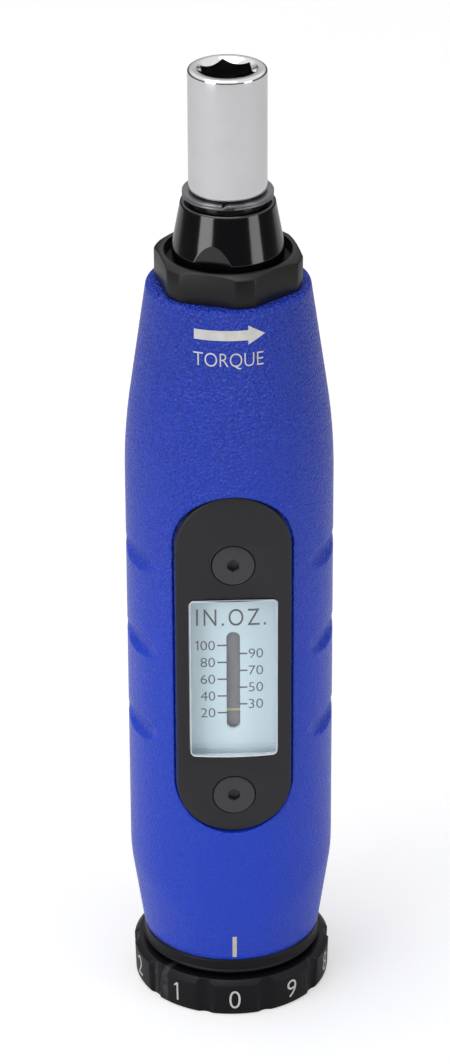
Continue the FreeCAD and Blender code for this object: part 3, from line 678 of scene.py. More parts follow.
FINISHES: dict[str, object] = {
    "blue_crinkle": Paint(),
    "black_oxide": Coating((25, 24, 27), (0.3, 0.42), (96, 94, 98), 0.35, 0.1, 0.004, 0.3),
    "black_gloss": Coating((10, 11, 14), (0.09, 0.16), (60, 60, 66), 0.3, 0.2, 0.001, 0.7),
    "bright_chrome": Metal((241, 241, 243), (0.05, 0.12), 0.0004, 0.1),
    "ring_steel": Metal((138, 136, 142), (0.3, 0.42)),
    "magnet_nickel": Metal((190, 186, 178), (0.2, 0.3)),
    "black_anodised": Coating((38, 37, 43), (0.42, 0.55), (110, 110, 118), 0.4, 0.08, 0.004, 0.45),
    "dial_black": Coating((16, 16, 20), (0.34, 0.46), (100, 100, 106), 0.35, 0.08, 0.004, 0.22),
    # The light worn colour on the screw heads' edges is partly edge wear and partly a painted highlight on
    # the rim.
    "screw_steel": Coating((54, 53, 58), (0.28, 0.4), (110, 110, 114), 0.5, 0.1, 0.003, 0.7),
    "clear_lens": ClearPlastic(),
    "scale_enamel": Coating((228, 246, 255), (0.3, 0.4), (228, 246, 255), 0.0, 6.0, 0.001),
    "grey_anodised": Coating((150, 146, 150), (0.35, 0.5), (160, 160, 164), 0.3, 0.1, 0.003),
    "indicator_enamel": Coating((240, 224, 150), (0.4, 0.5), (240, 230, 180), 0.2, 0.1, 0.002),
    "ground_steel": Metal((176, 176, 180), (0.2, 0.32), 0.0015, 0.06),
    "spring_steel": Metal((130, 130, 136), (0.24, 0.36), 0.001, 0.12),
    "bearing_bronze": Metal((172, 126, 70), (0.28, 0.4), 0.002, 0.1),
    "black_rubber": Coating((24, 24, 25), (0.6, 0.75), (50, 50, 52), 0.2, 0.15, 0.01, 0.35),
    "nylon": Coating((224, 220, 206), (0.4, 0.55), (230, 228, 220), 0.1, 0.12, 0.004),
    "marking_white": Coating((236, 236, 232), (0.4, 0.5), (236, 236, 232), 0.0, 0.15, 0.002),
    "marking_cream": Coating((240, 230, 208), (0.4, 0.5), (240, 230, 208), 0.0, 0.15, 0.002),
    # Pale white of the strip round the lens: a painted highlight of its edge.
    "lens_rim_highlight": Coating((238, 244, 248), (0.3, 0.4), (238, 244, 248), 0.0, 0.2, 0.001),
    "scale_ink": Coating((84, 80, 86), (0.4, 0.5), (84, 80, 86), 0.0, 0.15, 0.001),
}


class Wardrobe:
    """Makes each finish once and dresses pieces with them."""

    def __init__(self) -> None:
        """Makes the shared effects, and no finish yet."""
        self.effects = Effects()
        self.made: dict[str, bpy.types.Material] = {}

    def dress(self, piece: bpy.types.Object, finish: str) -> None:
        """Gives a piece one finish."""
        if finish not in self.made:
            self.made[finish] = FINISHES[finish].make(finish, self.effects)
        piece.data.materials.clear()
        piece.data.materials.append(self.made[finish])

    def fit(self, piece: bpy.types.Object, finish: str, body: str, *stands_for: str,
            slot: Optional[str] = None) -> None:
        """Dresses a new piece, sets it on its body and hides the CAD nodes that it stands for.

        Args:
            piece: the piece.
            finish: name of its finish.
            body: CAD body that it moves with.
            *stands_for: CAD nodes that it replaces.
            slot: material slot of the record, or None for the one named as the finish. Not used.
        """
        self.dress(piece, finish)
        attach(piece, body)
        if stands_for:
            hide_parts(*stands_for)
        LOG.info("%s: %d faces on %s", piece.name, len(piece.data.polygons), body)


# ---------------------------------------------------------------- handle
@dataclass
class Handle:
    """Die-cast handle: tapered foot, oval grip with finger grooves, long taper to the drive end."""

    foot: float = 8.0
    top: float = 104.3
    radius: float = 13.8
    foot_taper: float = 8.24
    drive_taper: float = 8.3
    foot_taper_length: float = 14.0
    drive_taper_length: float = 27.3
    foot_blend: float = 28.0
    drive_blend: float = 83.0
    rim: float = 0.7
    bore: float = 9.0
    foot_reach: float = 11.89
    front_reach: float = 13.2
    face_depth: float = 12.8
    face_radius: float = 17.0
    side_reach: float = 13.95
    groove_radius: float = 1.9
    groove_depth: float = 0.95
    groove_heights: tuple = (42.0, 54.7, 67.4)
    groove_turns: tuple = (68.0, 112.0, -68.0, -112.0)
    groove_band: float = 2.6
    groove_edge: float = 0.3
    oval_edge: float = 0.25
    pocket_half: float = 7.8
    pocket_foot: float = 28.55
    pocket_top: float = 79.05
    pocket_depth: float = 11.0
    pocket_edge: float = 0.25
    lens_half: float = 6.5
    lens_foot: float = 39.75
    lens_top: float = 64.55
    lens_depth: float = 9.2
    lens_corner: float = 0.8
    slot_half: float = 2.5
    slot_foot: float = 42.175
    slot_top: float = 60.025
    patch_half: float = 9.0
    patch_foot: float = 27.0
    patch_top: float = 80.6
    ease_length: float = 9.0
    front_columns: int = 30
    back_columns: int = 148
    slot_columns: int = 14

    def turned_reach(self, height: Array) -> Array:
        """Radius of the turned outside at each height.

        The grip's radius, less the drop of each blend arc, R (1 - cos a) with sin a the distance past
        the grip over R, and past the arc a straight taper.

        Args:
            height: heights between the foot and the rim.

        Returns:
            Radii.
        """
        reach = np.full(np.shape(height), self.radius)
        for past, blend, taper in (
            (self.foot + self.foot_taper_length - height, self.foot_blend, self.foot_taper),
            (height - self.top + self.drive_taper_length, self.drive_blend, self.drive_taper),
        ):
            slope = math.radians(taper)
            end = blend * math.sin(slope)
            drop = blend - np.sqrt(blend ** 2 - np.clip(past, 0, end) ** 2)
            reach = reach - drop - np.maximum(past - end, 0) * math.tan(slope)
        return reach

    def oval(self, turn: Array) -> Array:
        """Radius of the oval grip section at each turn: wide arcs front and back, tight ones at the sides.

        Distance along the ray to a circle off the axis: c cos + sqrt(R squared - c squared sin squared).

        Args:
            turn: angles from the front, in radians.

        Returns:
            Radii.
        """
        face = self.face_radius - self.face_depth
        short = self.face_radius - self.side_reach
        side = (face ** 2 - short ** 2) / (2 * short)
        side_radius = self.side_reach - side
        meet = math.atan2(self.face_radius * side / math.hypot(side, face),
                          self.face_radius * face / math.hypot(side, face) - face)
        ahead, across = np.abs(np.cos(turn)), np.abs(np.sin(turn))
        flat = -face * ahead + np.sqrt(self.face_radius ** 2 - (face * across) ** 2)
        edge = side * across + np.sqrt(side_radius ** 2 - (side * ahead) ** 2)
        return np.where(np.arctan2(across, ahead) < meet, flat, edge)

    def reach(self, turn: Array, height: Array) -> Array:
        """Distance of the handle's skin from the axis.

        The softened smallest of the turned radius, the oval and each finger groove, whose ray distance
        is (D - sqrt(r squared - w squared)) / cos a for a round cutter at distance D, with w the height
        from its centre and a the turn from its direction.

        Args:
            turn: angles from the front, in radians.
            height: heights.

        Returns:
            Distances from the axis.
        """
        skin = soft_min(self.turned_reach(height), self.oval(turn), self.oval_edge)
        distance = self.radius - self.groove_depth + self.groove_radius
        for centre in self.groove_heights:
            chord = np.sqrt(np.clip(self.groove_radius ** 2 - (height - centre) ** 2, 0, None))
            for way in self.groove_turns:
                facing = np.maximum(np.cos(turn - math.radians(way)), 0.3)
                skin = soft_min(skin, (distance - chord) / facing, self.groove_edge)
        return skin

    def turn_at(self, across: Array, height: Array) -> Array:
        """Turn of the skin's point on the front with a given x, found by repeated substitution."""
        turn = np.arcsin(across / self.front_reach)
        for _ in range(12):
            turn = np.arcsin(across / self.reach(turn, height))
        return turn

    def depth(self, across: Array, height: Array) -> Array:
        """Depth of the skin in front of the axis at x and a height."""
        turn = self.turn_at(across, height)
        return self.reach(turn, height) * np.cos(turn)

    def heights(self) -> Array:
        """Heights of the skin's rows, closer together across the finger grooves."""
        marks = [self.foot + 0.2, self.patch_foot]
        for centre in self.groove_heights:
            marks += [centre - self.groove_band, centre + self.groove_band]
        marks += [self.patch_top, self.top - self.rim * (1 - math.sin(math.radians(self.drive_taper)))]
        pitches = [0.6, 0.55, 0.2, 0.6, 0.2, 0.6, 0.2, 0.55, 0.6]
        runs = [np.linspace(a, b, max(2, round((b - a) / p)), endpoint=False)
                for a, b, p in zip(marks[:-1], marks[1:], pitches)]
        return np.concatenate([*runs, marks[-1:]])

    def turns(self, rows: Array) -> tuple[Array, Array]:
        """Turn of each point of the outside.

        Across the front the points of a row are evenly spaced in x, and behind it they share out the
        rest of the turn. Above and below the window each row eases into the plain columns.

        Args:
            rows: heights of the rows.

        Returns:
            (rows, columns) array of turns, and the turns of the plain columns.
        """
        front = np.linspace(-self.patch_half, self.patch_half, self.front_columns + 1)
        edge = math.asin(self.patch_half / self.front_reach)
        back = np.linspace(edge, 2 * math.pi - edge, self.back_columns + 2)[1:-1]
        plain = np.concatenate([np.arcsin(front / self.front_reach), back])
        height = rows[:, None]
        across = self.turn_at(front, height)
        limit = across[:, -1:]
        behind = limit + (back - edge) * (math.pi - limit) / (math.pi - edge)
        follow = np.concatenate([across, behind], axis=1)
        past = np.maximum(self.patch_foot - 1 - height, height - self.patch_top - 1)
        return follow + (plain - follow) * eased(past / self.ease_length), plain

    def inside(self, rows: Array) -> Array:
        """(reach, height) of the rows over the rim, down the bore and out across the foot."""
        reach = self.turned_reach(rows[-1:])[0] - self.rim * math.cos(math.radians(self.drive_taper))
        corners = [(reach, self.top), (self.bore, self.top), (self.bore, self.slot_top + 2),
                   (self.bore, self.slot_foot - 2), (self.bore, self.foot), (self.foot_reach, self.foot)]
        rim = arc((reach, self.top - self.rim), self.rim, self.drive_taper, 90, 7)
        return np.concatenate([rim[1:], spread(corners, 0.9)[1:], corners[-1:]])

    def build(self) -> bpy.types.Object:
        """Makes the handle as one closed skin.

        Rows run up the outside, over the rim, down the bore and back across the foot. Two windows are
        left open in that grid, on the front of the outside and in the bore, and bands of the same skin
        run from them to the bezel plate's pocket and to the slot behind the scale.

        Returns:
            The handle.
        """
        rows = self.heights()
        turn, plain = self.turns(rows)
        inner = self.inside(rows)
        skin = Skin()
        numbers = skin.add(np.concatenate([
            on_axis(self.reach(turn, rows[:, None]), turn, rows[:, None]),
            on_axis(inner[:, :1], plain, inner[:, 1:]),
        ]))
        reach, height = inner.T
        behind = len(rows) + np.flatnonzero((np.abs(reach - self.bore) < 1e-6)
                                            & (height > self.slot_foot - 1.8)
                                            & (height < self.slot_top + 1.8))
        middle, half = self.front_columns // 2, self.slot_columns // 2
        openings = (
            (np.argmin(np.abs(rows - self.patch_foot)), np.argmin(np.abs(rows - self.patch_top)),
             0, self.front_columns),
            (behind[0], behind[-1], middle - half, middle + half),
        )
        cell = np.ones(numbers.shape, bool)
        for low, high, left, right in openings:
            cell[low:high, left:right] = False
        skin.grid(numbers, rows_close=True, keep=cell)
        front, back = (self._perimeter(numbers, *opening) for opening in openings)
        self._window(skin, self._pocket(skin, front), back)
        return skin.piece("handle_shell", 50.0)

    @staticmethod
    def _perimeter(numbers: Array, low: int, high: int, left: int, right: int) -> Array:
        """Point numbers round a block of cells, starting along its first row."""
        return np.concatenate([numbers[low, left:right], numbers[low:high, right],
                               numbers[high, right:left:-1], numbers[high:low:-1, left]])

    def _pocket(self, skin: Skin, border: Array) -> Array:
        """Adds the band from the open front to the pocket, its rounded lip and its wall.

        Args:
            skin: the skin, with the outside in it.
            border: point numbers of the open front.

        Returns:
            Point numbers round the pocket's floor.
        """
        start = skin.at(border)[:, [0, 2]]
        centre = np.zeros_like(start)
        centre[:, 1] = np.clip(start[:, 1], self.pocket_foot + self.pocket_half,
                               self.pocket_top - self.pocket_half)
        length = np.linalg.norm(start - centre, axis=1, keepdims=True)
        away = (start - centre) / length
        lip = self.pocket_half + self.pocket_edge
        rows = [border]
        for share in np.linspace(0, 1, 11)[1:]:
            outline = centre + away * (length + (lip - length) * share)
            rows.append(skin.front(outline, self.depth(*outline.T)))
        face = -skin.at(rows[-1])[:, 1]
        floor = np.minimum(self.pocket_depth, face - 0.3)
        for angle in np.radians([30, 60, 90]):
            outline = centre + away * (lip - self.pocket_edge * math.sin(angle))
            drop = self.pocket_edge * (1 - math.cos(angle))
            rows.append(skin.front(outline, np.maximum(face - drop, floor)))
        rows.append(skin.front(outline, floor))
        skin.join(rows)
        return rows[-1]

    def _window(self, skin: Skin, pocket: Array, bore_edge: Array) -> None:
        """Adds the pocket's floor, the lens's pocket below it and the slot through to the bore.

        Args:
            skin: the skin, with the pocket's wall in it.
            pocket: point numbers round the pocket's floor.
            bore_edge: point numbers of the open part of the bore.
        """
        seat = rounded_box(self.lens_half, self.lens_foot, self.lens_top, self.lens_corner)
        gap = obround(self.slot_half, self.slot_foot, self.slot_top, 12)
        through = np.sqrt(self.bore ** 2 - gap[:, 0] ** 2)
        walls = [[skin.front(seat, self.pocket_depth), skin.front(seat, self.lens_depth)],
                 [skin.front(gap, self.lens_depth), skin.front(gap, through)]]
        for wall in walls:
            skin.join(wall)
        (upper, lower), (front, back) = walls
        for outer, inner in ((pocket, upper), (lower, front), (back, bore_edge)):
            skin.bridge(outer, inner, (self.slot_foot + self.slot_top) / 2)


# ---------------------------------------------------------------- marks
class Side(Enum):
    """Which edge of a word stands at its place."""

    LEFT = "LEFT"
    CENTRE = "CENTER"
    RIGHT = "RIGHT"


@dataclass(frozen=True)
class Mark:
    """Thin raised print, laid out flat and then wrapped on a surface.

    Attributes:
        thickness: how far it stands out, in millimetres.
        strip: greatest width left flat when it is wrapped.
    """

    thickness: float = 0.03
    strip: float = 0.4

    def words(self, text: str, x: float, z: float, height: float, width: float, side: Side = Side.CENTRE,
              thin: float = 0.0, gap: float = 1.0) -> bmesh.types.BMesh:
        """Lays out a word by the size of its outline.

        Args:
            text: the word or number.
            x: place of the side that it is set by.
            z: height of its middle.
            height: height of its outline.
            width: width of its outline.
            side: which edge x gives.
            thin: how much thinner each stroke is drawn, as a share of the letters' size.
            gap: space between letters, as a share of the usual one.

        Returns:
            The word as a closed flat solid, with x and z in its plane and y its thickness.
        """
        curve = bpy.data.curves.new("word", "FONT")
        curve.body, curve.size, curve.extrude, curve.resolution_u = text, 1.0, 0.5, 6
        curve.offset, curve.space_character = -thin, gap
        holder = bpy.data.objects.new("word", curve)
        bpy.context.scene.collection.objects.link(holder)
        mesh = bpy.data.meshes.new_from_object(holder.evaluated_get(bpy.context.evaluated_depsgraph_get()))
        bpy.data.objects.remove(holder)
        flat = points_of(mesh)
        share = (flat - flat.min(axis=0)) / np.ptp(flat, axis=0)
        start = {Side.LEFT: 0.0, Side.CENTRE: 0.5, Side.RIGHT: 1.0}[side]
        moved = np.stack([x + (share[:, 0] - start) * width, share[:, 2] * self.thickness,
                          z + (share[:, 1] - 0.5) * height], axis=-1)
        mesh.vertices.foreach_set("co", moved.ravel())
        laid = bmesh.new()
        laid.from_mesh(mesh)
        bmesh.ops.remove_doubles(laid, verts=laid.verts, dist=1e-5)
        return laid

    def one(self, x: float, z: float, height: float, stroke: float) -> bmesh.types.BMesh:
        """Lays out the figure 1, whose stem has its right edge at x, with a short flag."""
        top, foot = z + height / 2, z - height / 2
        return self.shape([(x - stroke, foot), (x, foot), (x, top), (x - stroke, top),
                           (x - 2.5 * stroke, top - 1.6 * stroke), (x - 2.5 * stroke, top - 2.5 * stroke),
                           (x - stroke, top - 1.5 * stroke)])

    def bar(self, left: float, right: float, foot: float, top: float) -> bmesh.types.BMesh:
        """Lays out a rectangle."""
        return self.shape([(left, foot), (right, foot), (right, top), (left, top)])

    def shape(self, outline: Sequence[tuple[float, float]]) -> bmesh.types.BMesh:
        """Lays out a flat solid with a straight-sided (x, z) outline."""
        laid = bmesh.new()
        face = laid.faces.new([laid.verts.new((x, 0.0, z)) for x, z in outline])
        moved = bmesh.ops.extrude_face_region(laid, geom=[face])["geom"]
        bmesh.ops.translate(laid, vec=(0, self.thickness, 0),
                            verts=[part for part in moved if isinstance(part, bmesh.types.BMVert)])
        return laid

    def wrap(self, name: str, laid: Sequence[bmesh.types.BMesh], onto: Callable[[Array], Array]
             ) -> bpy.types.Object:
        """Cuts flat solids into narrow strips and carries their points onto a surface.

        Args:
            name: name of the piece.
            laid: the flat solids.
            onto: takes (n, 3) flat points and returns them on the surface, in millimetres.

        Returns:
            The new object.
        """
        whole, reach = bmesh.new(), []
        for part in laid:
            flat = bpy.data.meshes.new("laid")
            part.to_mesh(flat)
            part.free()
            whole.from_mesh(flat)
            reach.append(points_of(flat)[:, 0])
            bpy.data.meshes.remove(flat)
        reach = np.concatenate(reach)
        for cut in np.arange(reach.min(), reach.max(), self.strip)[1:]:
            parts = whole.verts[:] + whole.edges[:] + whole.faces[:]
            bmesh.ops.bisect_plane(whole, geom=parts, dist=1e-6, plane_co=(cut, 0, 0), plane_no=(1, 0, 0))
        bmesh.ops.triangulate(whole, faces=whole.faces)
        mesh = bpy.data.meshes.new(name)
        whole.to_mesh(mesh)
        whole.free()
        mesh.vertices.foreach_set("co", (onto(points_of(mesh)) * MM).ravel())
        face_outwards(mesh)
        return placed(name, mesh)


@dataclass
class HandleMarks:
    """Arrow, word and index bar printed on the front of the handle."""

    handle: Handle
    arrow: tuple = ((-4.8, 100.63), (2.1, 100.63), (2.1, 100.03), (4.25, 101.28), (2.1, 102.53),
                    (2.1, 101.93), (-4.8, 101.93))
    word: tuple = (-0.45, 97.93, 2.1, 8.95)
    bar: tuple = (-0.33, 0.25, 8.6, 12.15)

    def onto(self, flat: Array) -> Array:
        """Carries flat points onto the skin: y is minus the skin's depth and the point's own height."""
        depth = self.handle.depth(flat[:, 0], flat[:, 2])
        return np.stack([flat[:, 0], -depth - flat[:, 1], flat[:, 2]], axis=-1)

    def build(self, wardrobe: Wardrobe) -> None:
        """Makes the three marks."""
        mark = Mark(0.04)
        for name, laid, finish in (
            ("turn_arrow", mark.shape(self.arrow), "marking_white"),
            ("function_word", mark.words("TORQUE", *self.word, thin=0.012), "marking_white"),
            ("index_bar", mark.bar(*self.bar), "marking_cream"),
        ):
            wardrobe.fit(mark.wrap(name, [laid], self.onto), finish, "handle", slot="blue_crinkle")


# ---------------------------------------------------------------- window
@dataclass
class Window:
    """Bezel plate, its two screws, the scale plate and the printed scale."""

    face: float = 12.2
    back: float = 11.0
    half: float = 7.6
    foot: float = 28.75
    top: float = 78.85
    edge: float = 0.22
    opening_half: float = 5.9
    opening_foot: float = 40.35
    opening_top: float = 63.95
    opening_corner: float = 0.8
    screw_heights: tuple = (34.3, 68.9)
    head: float = 2.8
    shank: float = 1.4
    screw_reach: float = 2.9
    socket_width: float = 1.6
    socket_depth: float = 0.95
    scale_face: float = 9.7
    zero: float = 46.25
    step: float = 1.27
    heading: tuple = (-0.26, 60.58, 2.5, 8.94)
    sides: tuple = ((-2.03, -0.86, -2.34, Side.RIGHT), (0.79, 1.81, 1.97, Side.LEFT))
    tick_half: float = 0.105
    number_size: tuple = (1.4, 1.86)
    hundreds: float = 2.12
    bow: float = 0.5
    lens_gap: float = 0.1
    lens_strip: float = 0.17

    def plate(self) -> bpy.types.Object:
        """Obround plate with rounded edges, the window and two countersunk holes.

        Each edge of an outline is carried back on a quarter circle: the outline shrinks or grows by
        e (1 - sin a) while the depth falls by e (1 - cos a).

        Returns:
            The plate.
        """
        skin = Skin()
        outlines: list[tuple[Callable[[float], Array], float, float]] = [
            (lambda grow: obround(self.half - grow, self.foot + grow, self.top - grow), 1.0, 0.0),
            (lambda grow: rounded_box(self.opening_half + grow, self.opening_foot - grow,
                                      self.opening_top + grow, self.opening_corner + grow), 0.6, 0.0),
        ]
        outlines += [(lambda grow, z=z: arc((0, z), self.head + 0.1 + grow, 0, 352.5, 48), 0.5, -1.1)
                     for z in self.screw_heights]
        ends = []
        for outline, share, behind in outlines:
            loops = [skin.front(outline(self.edge * (1 - math.sin(angle)) * share),
                                self.face - self.edge * (1 - math.cos(angle)))
                     for angle in np.radians([0, 22.5, 45, 67.5, 90])]
            loops.append(skin.front(outline(behind), self.back))
            skin.join(loops)
            ends.append((loops[0], loops[-1]))
        for loops in zip(*ends):
            skin.fill(loops)
        return skin.piece("bezel", 35.0)

    def screw(self, height: float, name: str) -> bpy.types.Object:
        """Flat-head screw with a hexagonal socket, turned about an axis along Y.

        Every row is carried round the screw's axis, and inside the socket the reach is the hexagon's:
        half the width over the cosine of the angle from the nearest flat.

        Args:
            height: height of its axis.
            name: name of the piece.

        Returns:
            The screw.
        """
        turn = full_turn(72)
        hexagon = self.socket_width / 2 / np.cos(past_flat(turn, 0.0))
        face, head, shank, floor = self.face, self.head, self.shank, self.face - self.socket_depth
        rows = [
            (0.25, floor - 0.15), (hexagon * 0.98, floor), (hexagon, floor + 0.05), (hexagon, face - 0.06),
            (hexagon + 0.07, face - 0.01), (hexagon + 0.16, face), (head - 0.16, face),
            (head - 0.05, face - 0.03), (head, face - 0.12), (shank, face - 0.12 - head + shank),
            (shank, face - self.screw_reach),
        ]
        skin = Skin()
        skin.join([skin.front(np.stack([reach * np.cos(turn), height + reach * np.sin(turn)], axis=-1), depth)
                   for reach, depth in rows], capped=True)
        return skin.piece(name, 35.0)

    def scale(self) -> bpy.types.Object:
        """Heading, ticks and numbers of the scale, laid on the scale plate."""
        mark = Mark(0.012, 50.0)
        laid = [mark.words("IN.OZ.", *self.heading, thin=0.004, gap=1.25)]
        for k in range(9):
            z = self.zero + k * self.step
            first, last, place, side = self.sides[k % 2]
            laid.append(mark.bar(first, last, z - self.tick_half, z + self.tick_half))
            number = str(20 + 10 * k)
            if number == "100":
                laid.append(mark.one(place - self.hundreds, z, self.number_size[0], 0.16))
                number = number[1:]
            laid.append(mark.words(number, place, z, *self.number_size, side, thin=0.008))
        return mark.wrap("scale_print", laid, lambda flat: np.stack(
            [flat[:, 0], -self.scale_face - flat[:, 1], flat[:, 2]], axis=-1))

    def lens_edge(self) -> bpy.types.Object:
        """Narrow raised strip round the lens's bowed face, coloured pale white as a painted highlight of the
        lens's edge catching light.

        The face is a cylinder along Z, whose depth at x is sqrt(R squared - x squared) less the distance
        of its axis behind the tool's, with R from the bow's rise over half the window's width.

        Returns:
            The strip.
        """
        radius = (self.opening_half ** 2 + self.bow ** 2) / (2 * self.bow)
        skin, loops, wide = Skin(), [], self.lens_strip
        for inset, proud in ((0.0, -0.2), (0.0, 0.005), (0.04, 0.02), (wide - 0.04, 0.02), (wide, 0.005),
                             (wide, -0.2)):
            grow = self.lens_gap + inset
            outline = rounded_box(self.opening_half - grow, self.opening_foot + grow,
                                  self.opening_top - grow, self.opening_corner - grow)
            depth = np.sqrt(radius ** 2 - outline[:, 0] ** 2) - (radius - self.face - self.bow) + proud
            loops.append(skin.front(outline, depth))
        skin.join(loops, ring=True)
        return skin.piece("lens_edge", 50.0)

    def build(self, wardrobe: Wardrobe) -> None:
        """Makes the window's pieces."""
        wardrobe.fit(self.plate(), "black_anodised", "handle", "bezel_plate")
        # The strip round the lens carries a painted highlight.
        wardrobe.fit(self.lens_edge(), "lens_rim_highlight", "handle", slot="clear_lens")
        for height, place in zip(self.screw_heights, ("lower", "upper")):
            wardrobe.fit(self.screw(height, "bezel_head_" + place), "screw_steel", "handle",
                         "bezel_screw_" + place)
        wardrobe.fit(self.scale(), "scale_ink", "handle", slot="scale_enamel")


# ---------------------------------------------------------------- dial
@dataclass
class Dial:
    """Setting dial with ten lobes, its digits, and the collar above it."""

    radius: float = 13.55
    foot_radius: float = 13.4
    height: float = 5.3
    top_chamfer: float = 0.7
    notch_width: float = 2.6
    notch_depth: float = 0.6
    notch_start: float = 11.5
    lobes: int = 10
    digit_height: float = 2.85
    digit_width: float = 1.55
    digit_middle: float = 2.5

    def side(self, height: Array) -> Array:
        """Radius of the dial's slightly flared side at a height."""
        top = self.height - self.top_chamfer
        return self.foot_radius + (self.radius - self.foot_radius) * np.clip(height, 0, top) / top

    def body(self) -> bpy.types.Object:
        """Turned dial cut by ten round notches.

        The reach is the softened smaller of the turned outline and, within a notch, the near side of its
        cutter: D cos a - sqrt(r squared - D squared sin squared a), with a the turn from the notch.

        Returns:
            The dial.
        """
        pitch, half = 2 * math.pi / self.lobes, math.asin(self.notch_width / 2 / self.radius)
        lobe = np.concatenate([np.linspace(-half, half, 15)[:-1], np.linspace(half, pitch - half, 19)[:-1]])
        turn = ((np.arange(self.lobes)[:, None] + 0.5) * pitch + lobe).ravel()
        flare = np.linspace(0.5, 4.45, 12)
        outline = np.concatenate([
            [(3.6, 3.0), (1.6, 3.0), (1.6, 2.2), (2.9, 2.2), (2.9, 0.6), (3.0, 0.5), (9.4, 0.5), (9.5, 0.4),
             (9.5, 0.06), (9.56, 0.0), (12.95, 0.0)],
            arc((13.08, 0.3), 0.3, -75, 5, 6), np.stack([self.side(flare), flare], axis=-1),
            arc((13.37, 4.55), 0.18, 8, 42, 4), arc((12.78, 5.12), 0.18, 48, 86, 4),
            [(12.3, 5.3), (11.3, 5.3), (10.9, 5.02), (9.7, 5.02), (9.3, 5.3), (3.6, 5.3)],
        ])
        reach, height = outline[:, :1], outline[:, 1:]
        cutter = self.notch_width ** 2 / (8 * self.notch_depth) + self.notch_depth / 2
        distance = self.radius - self.notch_depth + cutter
        off = np.abs(np.mod(turn, pitch) - pitch / 2)
        inside = np.clip(cutter ** 2 - (distance * np.sin(off)) ** 2, 0, None)
        notch = np.where(inside > 0, distance * np.cos(off) - np.sqrt(inside), 99.0)
        rows = np.where(reach > self.notch_start, soft_min(reach, notch, 0.04), reach)
        return shaped("dial", turn, zip(rows, height), 32.0, ring=True)

    def digits(self) -> bpy.types.Object:
        """Digits 0 to 9 on the lobes, 0 at the front and rising towards -X."""
        mark, laid = Mark(), []
        for digit in range(self.lobes):
            centre = -math.radians(360 / self.lobes * digit + 0.3) * self.radius
            laid.append(mark.one(centre + 0.25, self.digit_middle, self.digit_height, 0.26) if digit == 1
                        else mark.words(str(digit), centre, self.digit_middle, self.digit_height,
                                        self.digit_width, thin=0.01))
        return mark.wrap("dial_digits", laid, lambda flat: on_axis(
            self.side(flat[:, 2]) + flat[:, 1], flat[:, 0] / self.radius, flat[:, 2]))

    def collar(self) -> bpy.types.Object:
        """Flanged collar with a low step round its foot."""
        outline = softened([
            (3.95, 5.7, 0), (11.75, 5.7, 0.08), (12.2, 6.1, 0.12), (12.2, 6.32, 0.06), (12.04, 6.42, 0.06),
            (12.04, 7.72, 0.1), (11.8, 8.0, 0.08), (8.98, 8.0, 0), (8.98, 15.8, 0), (8.78, 16.0, 0),
            (3.95, 16.0, 0),
        ])
        return shaped("collar", full_turn(160), outline, 38.0, ring=True)

    def build(self, wardrobe: Wardrobe) -> None:
        """Makes the dial's pieces."""
        wardrobe.fit(self.body(), "dial_black", "dial", "setting_dial")
        wardrobe.fit(self.digits(), "marking_white", "dial", slot="dial_black")
        wardrobe.fit(self.collar(), "dial_black", "handle", "base_collar")


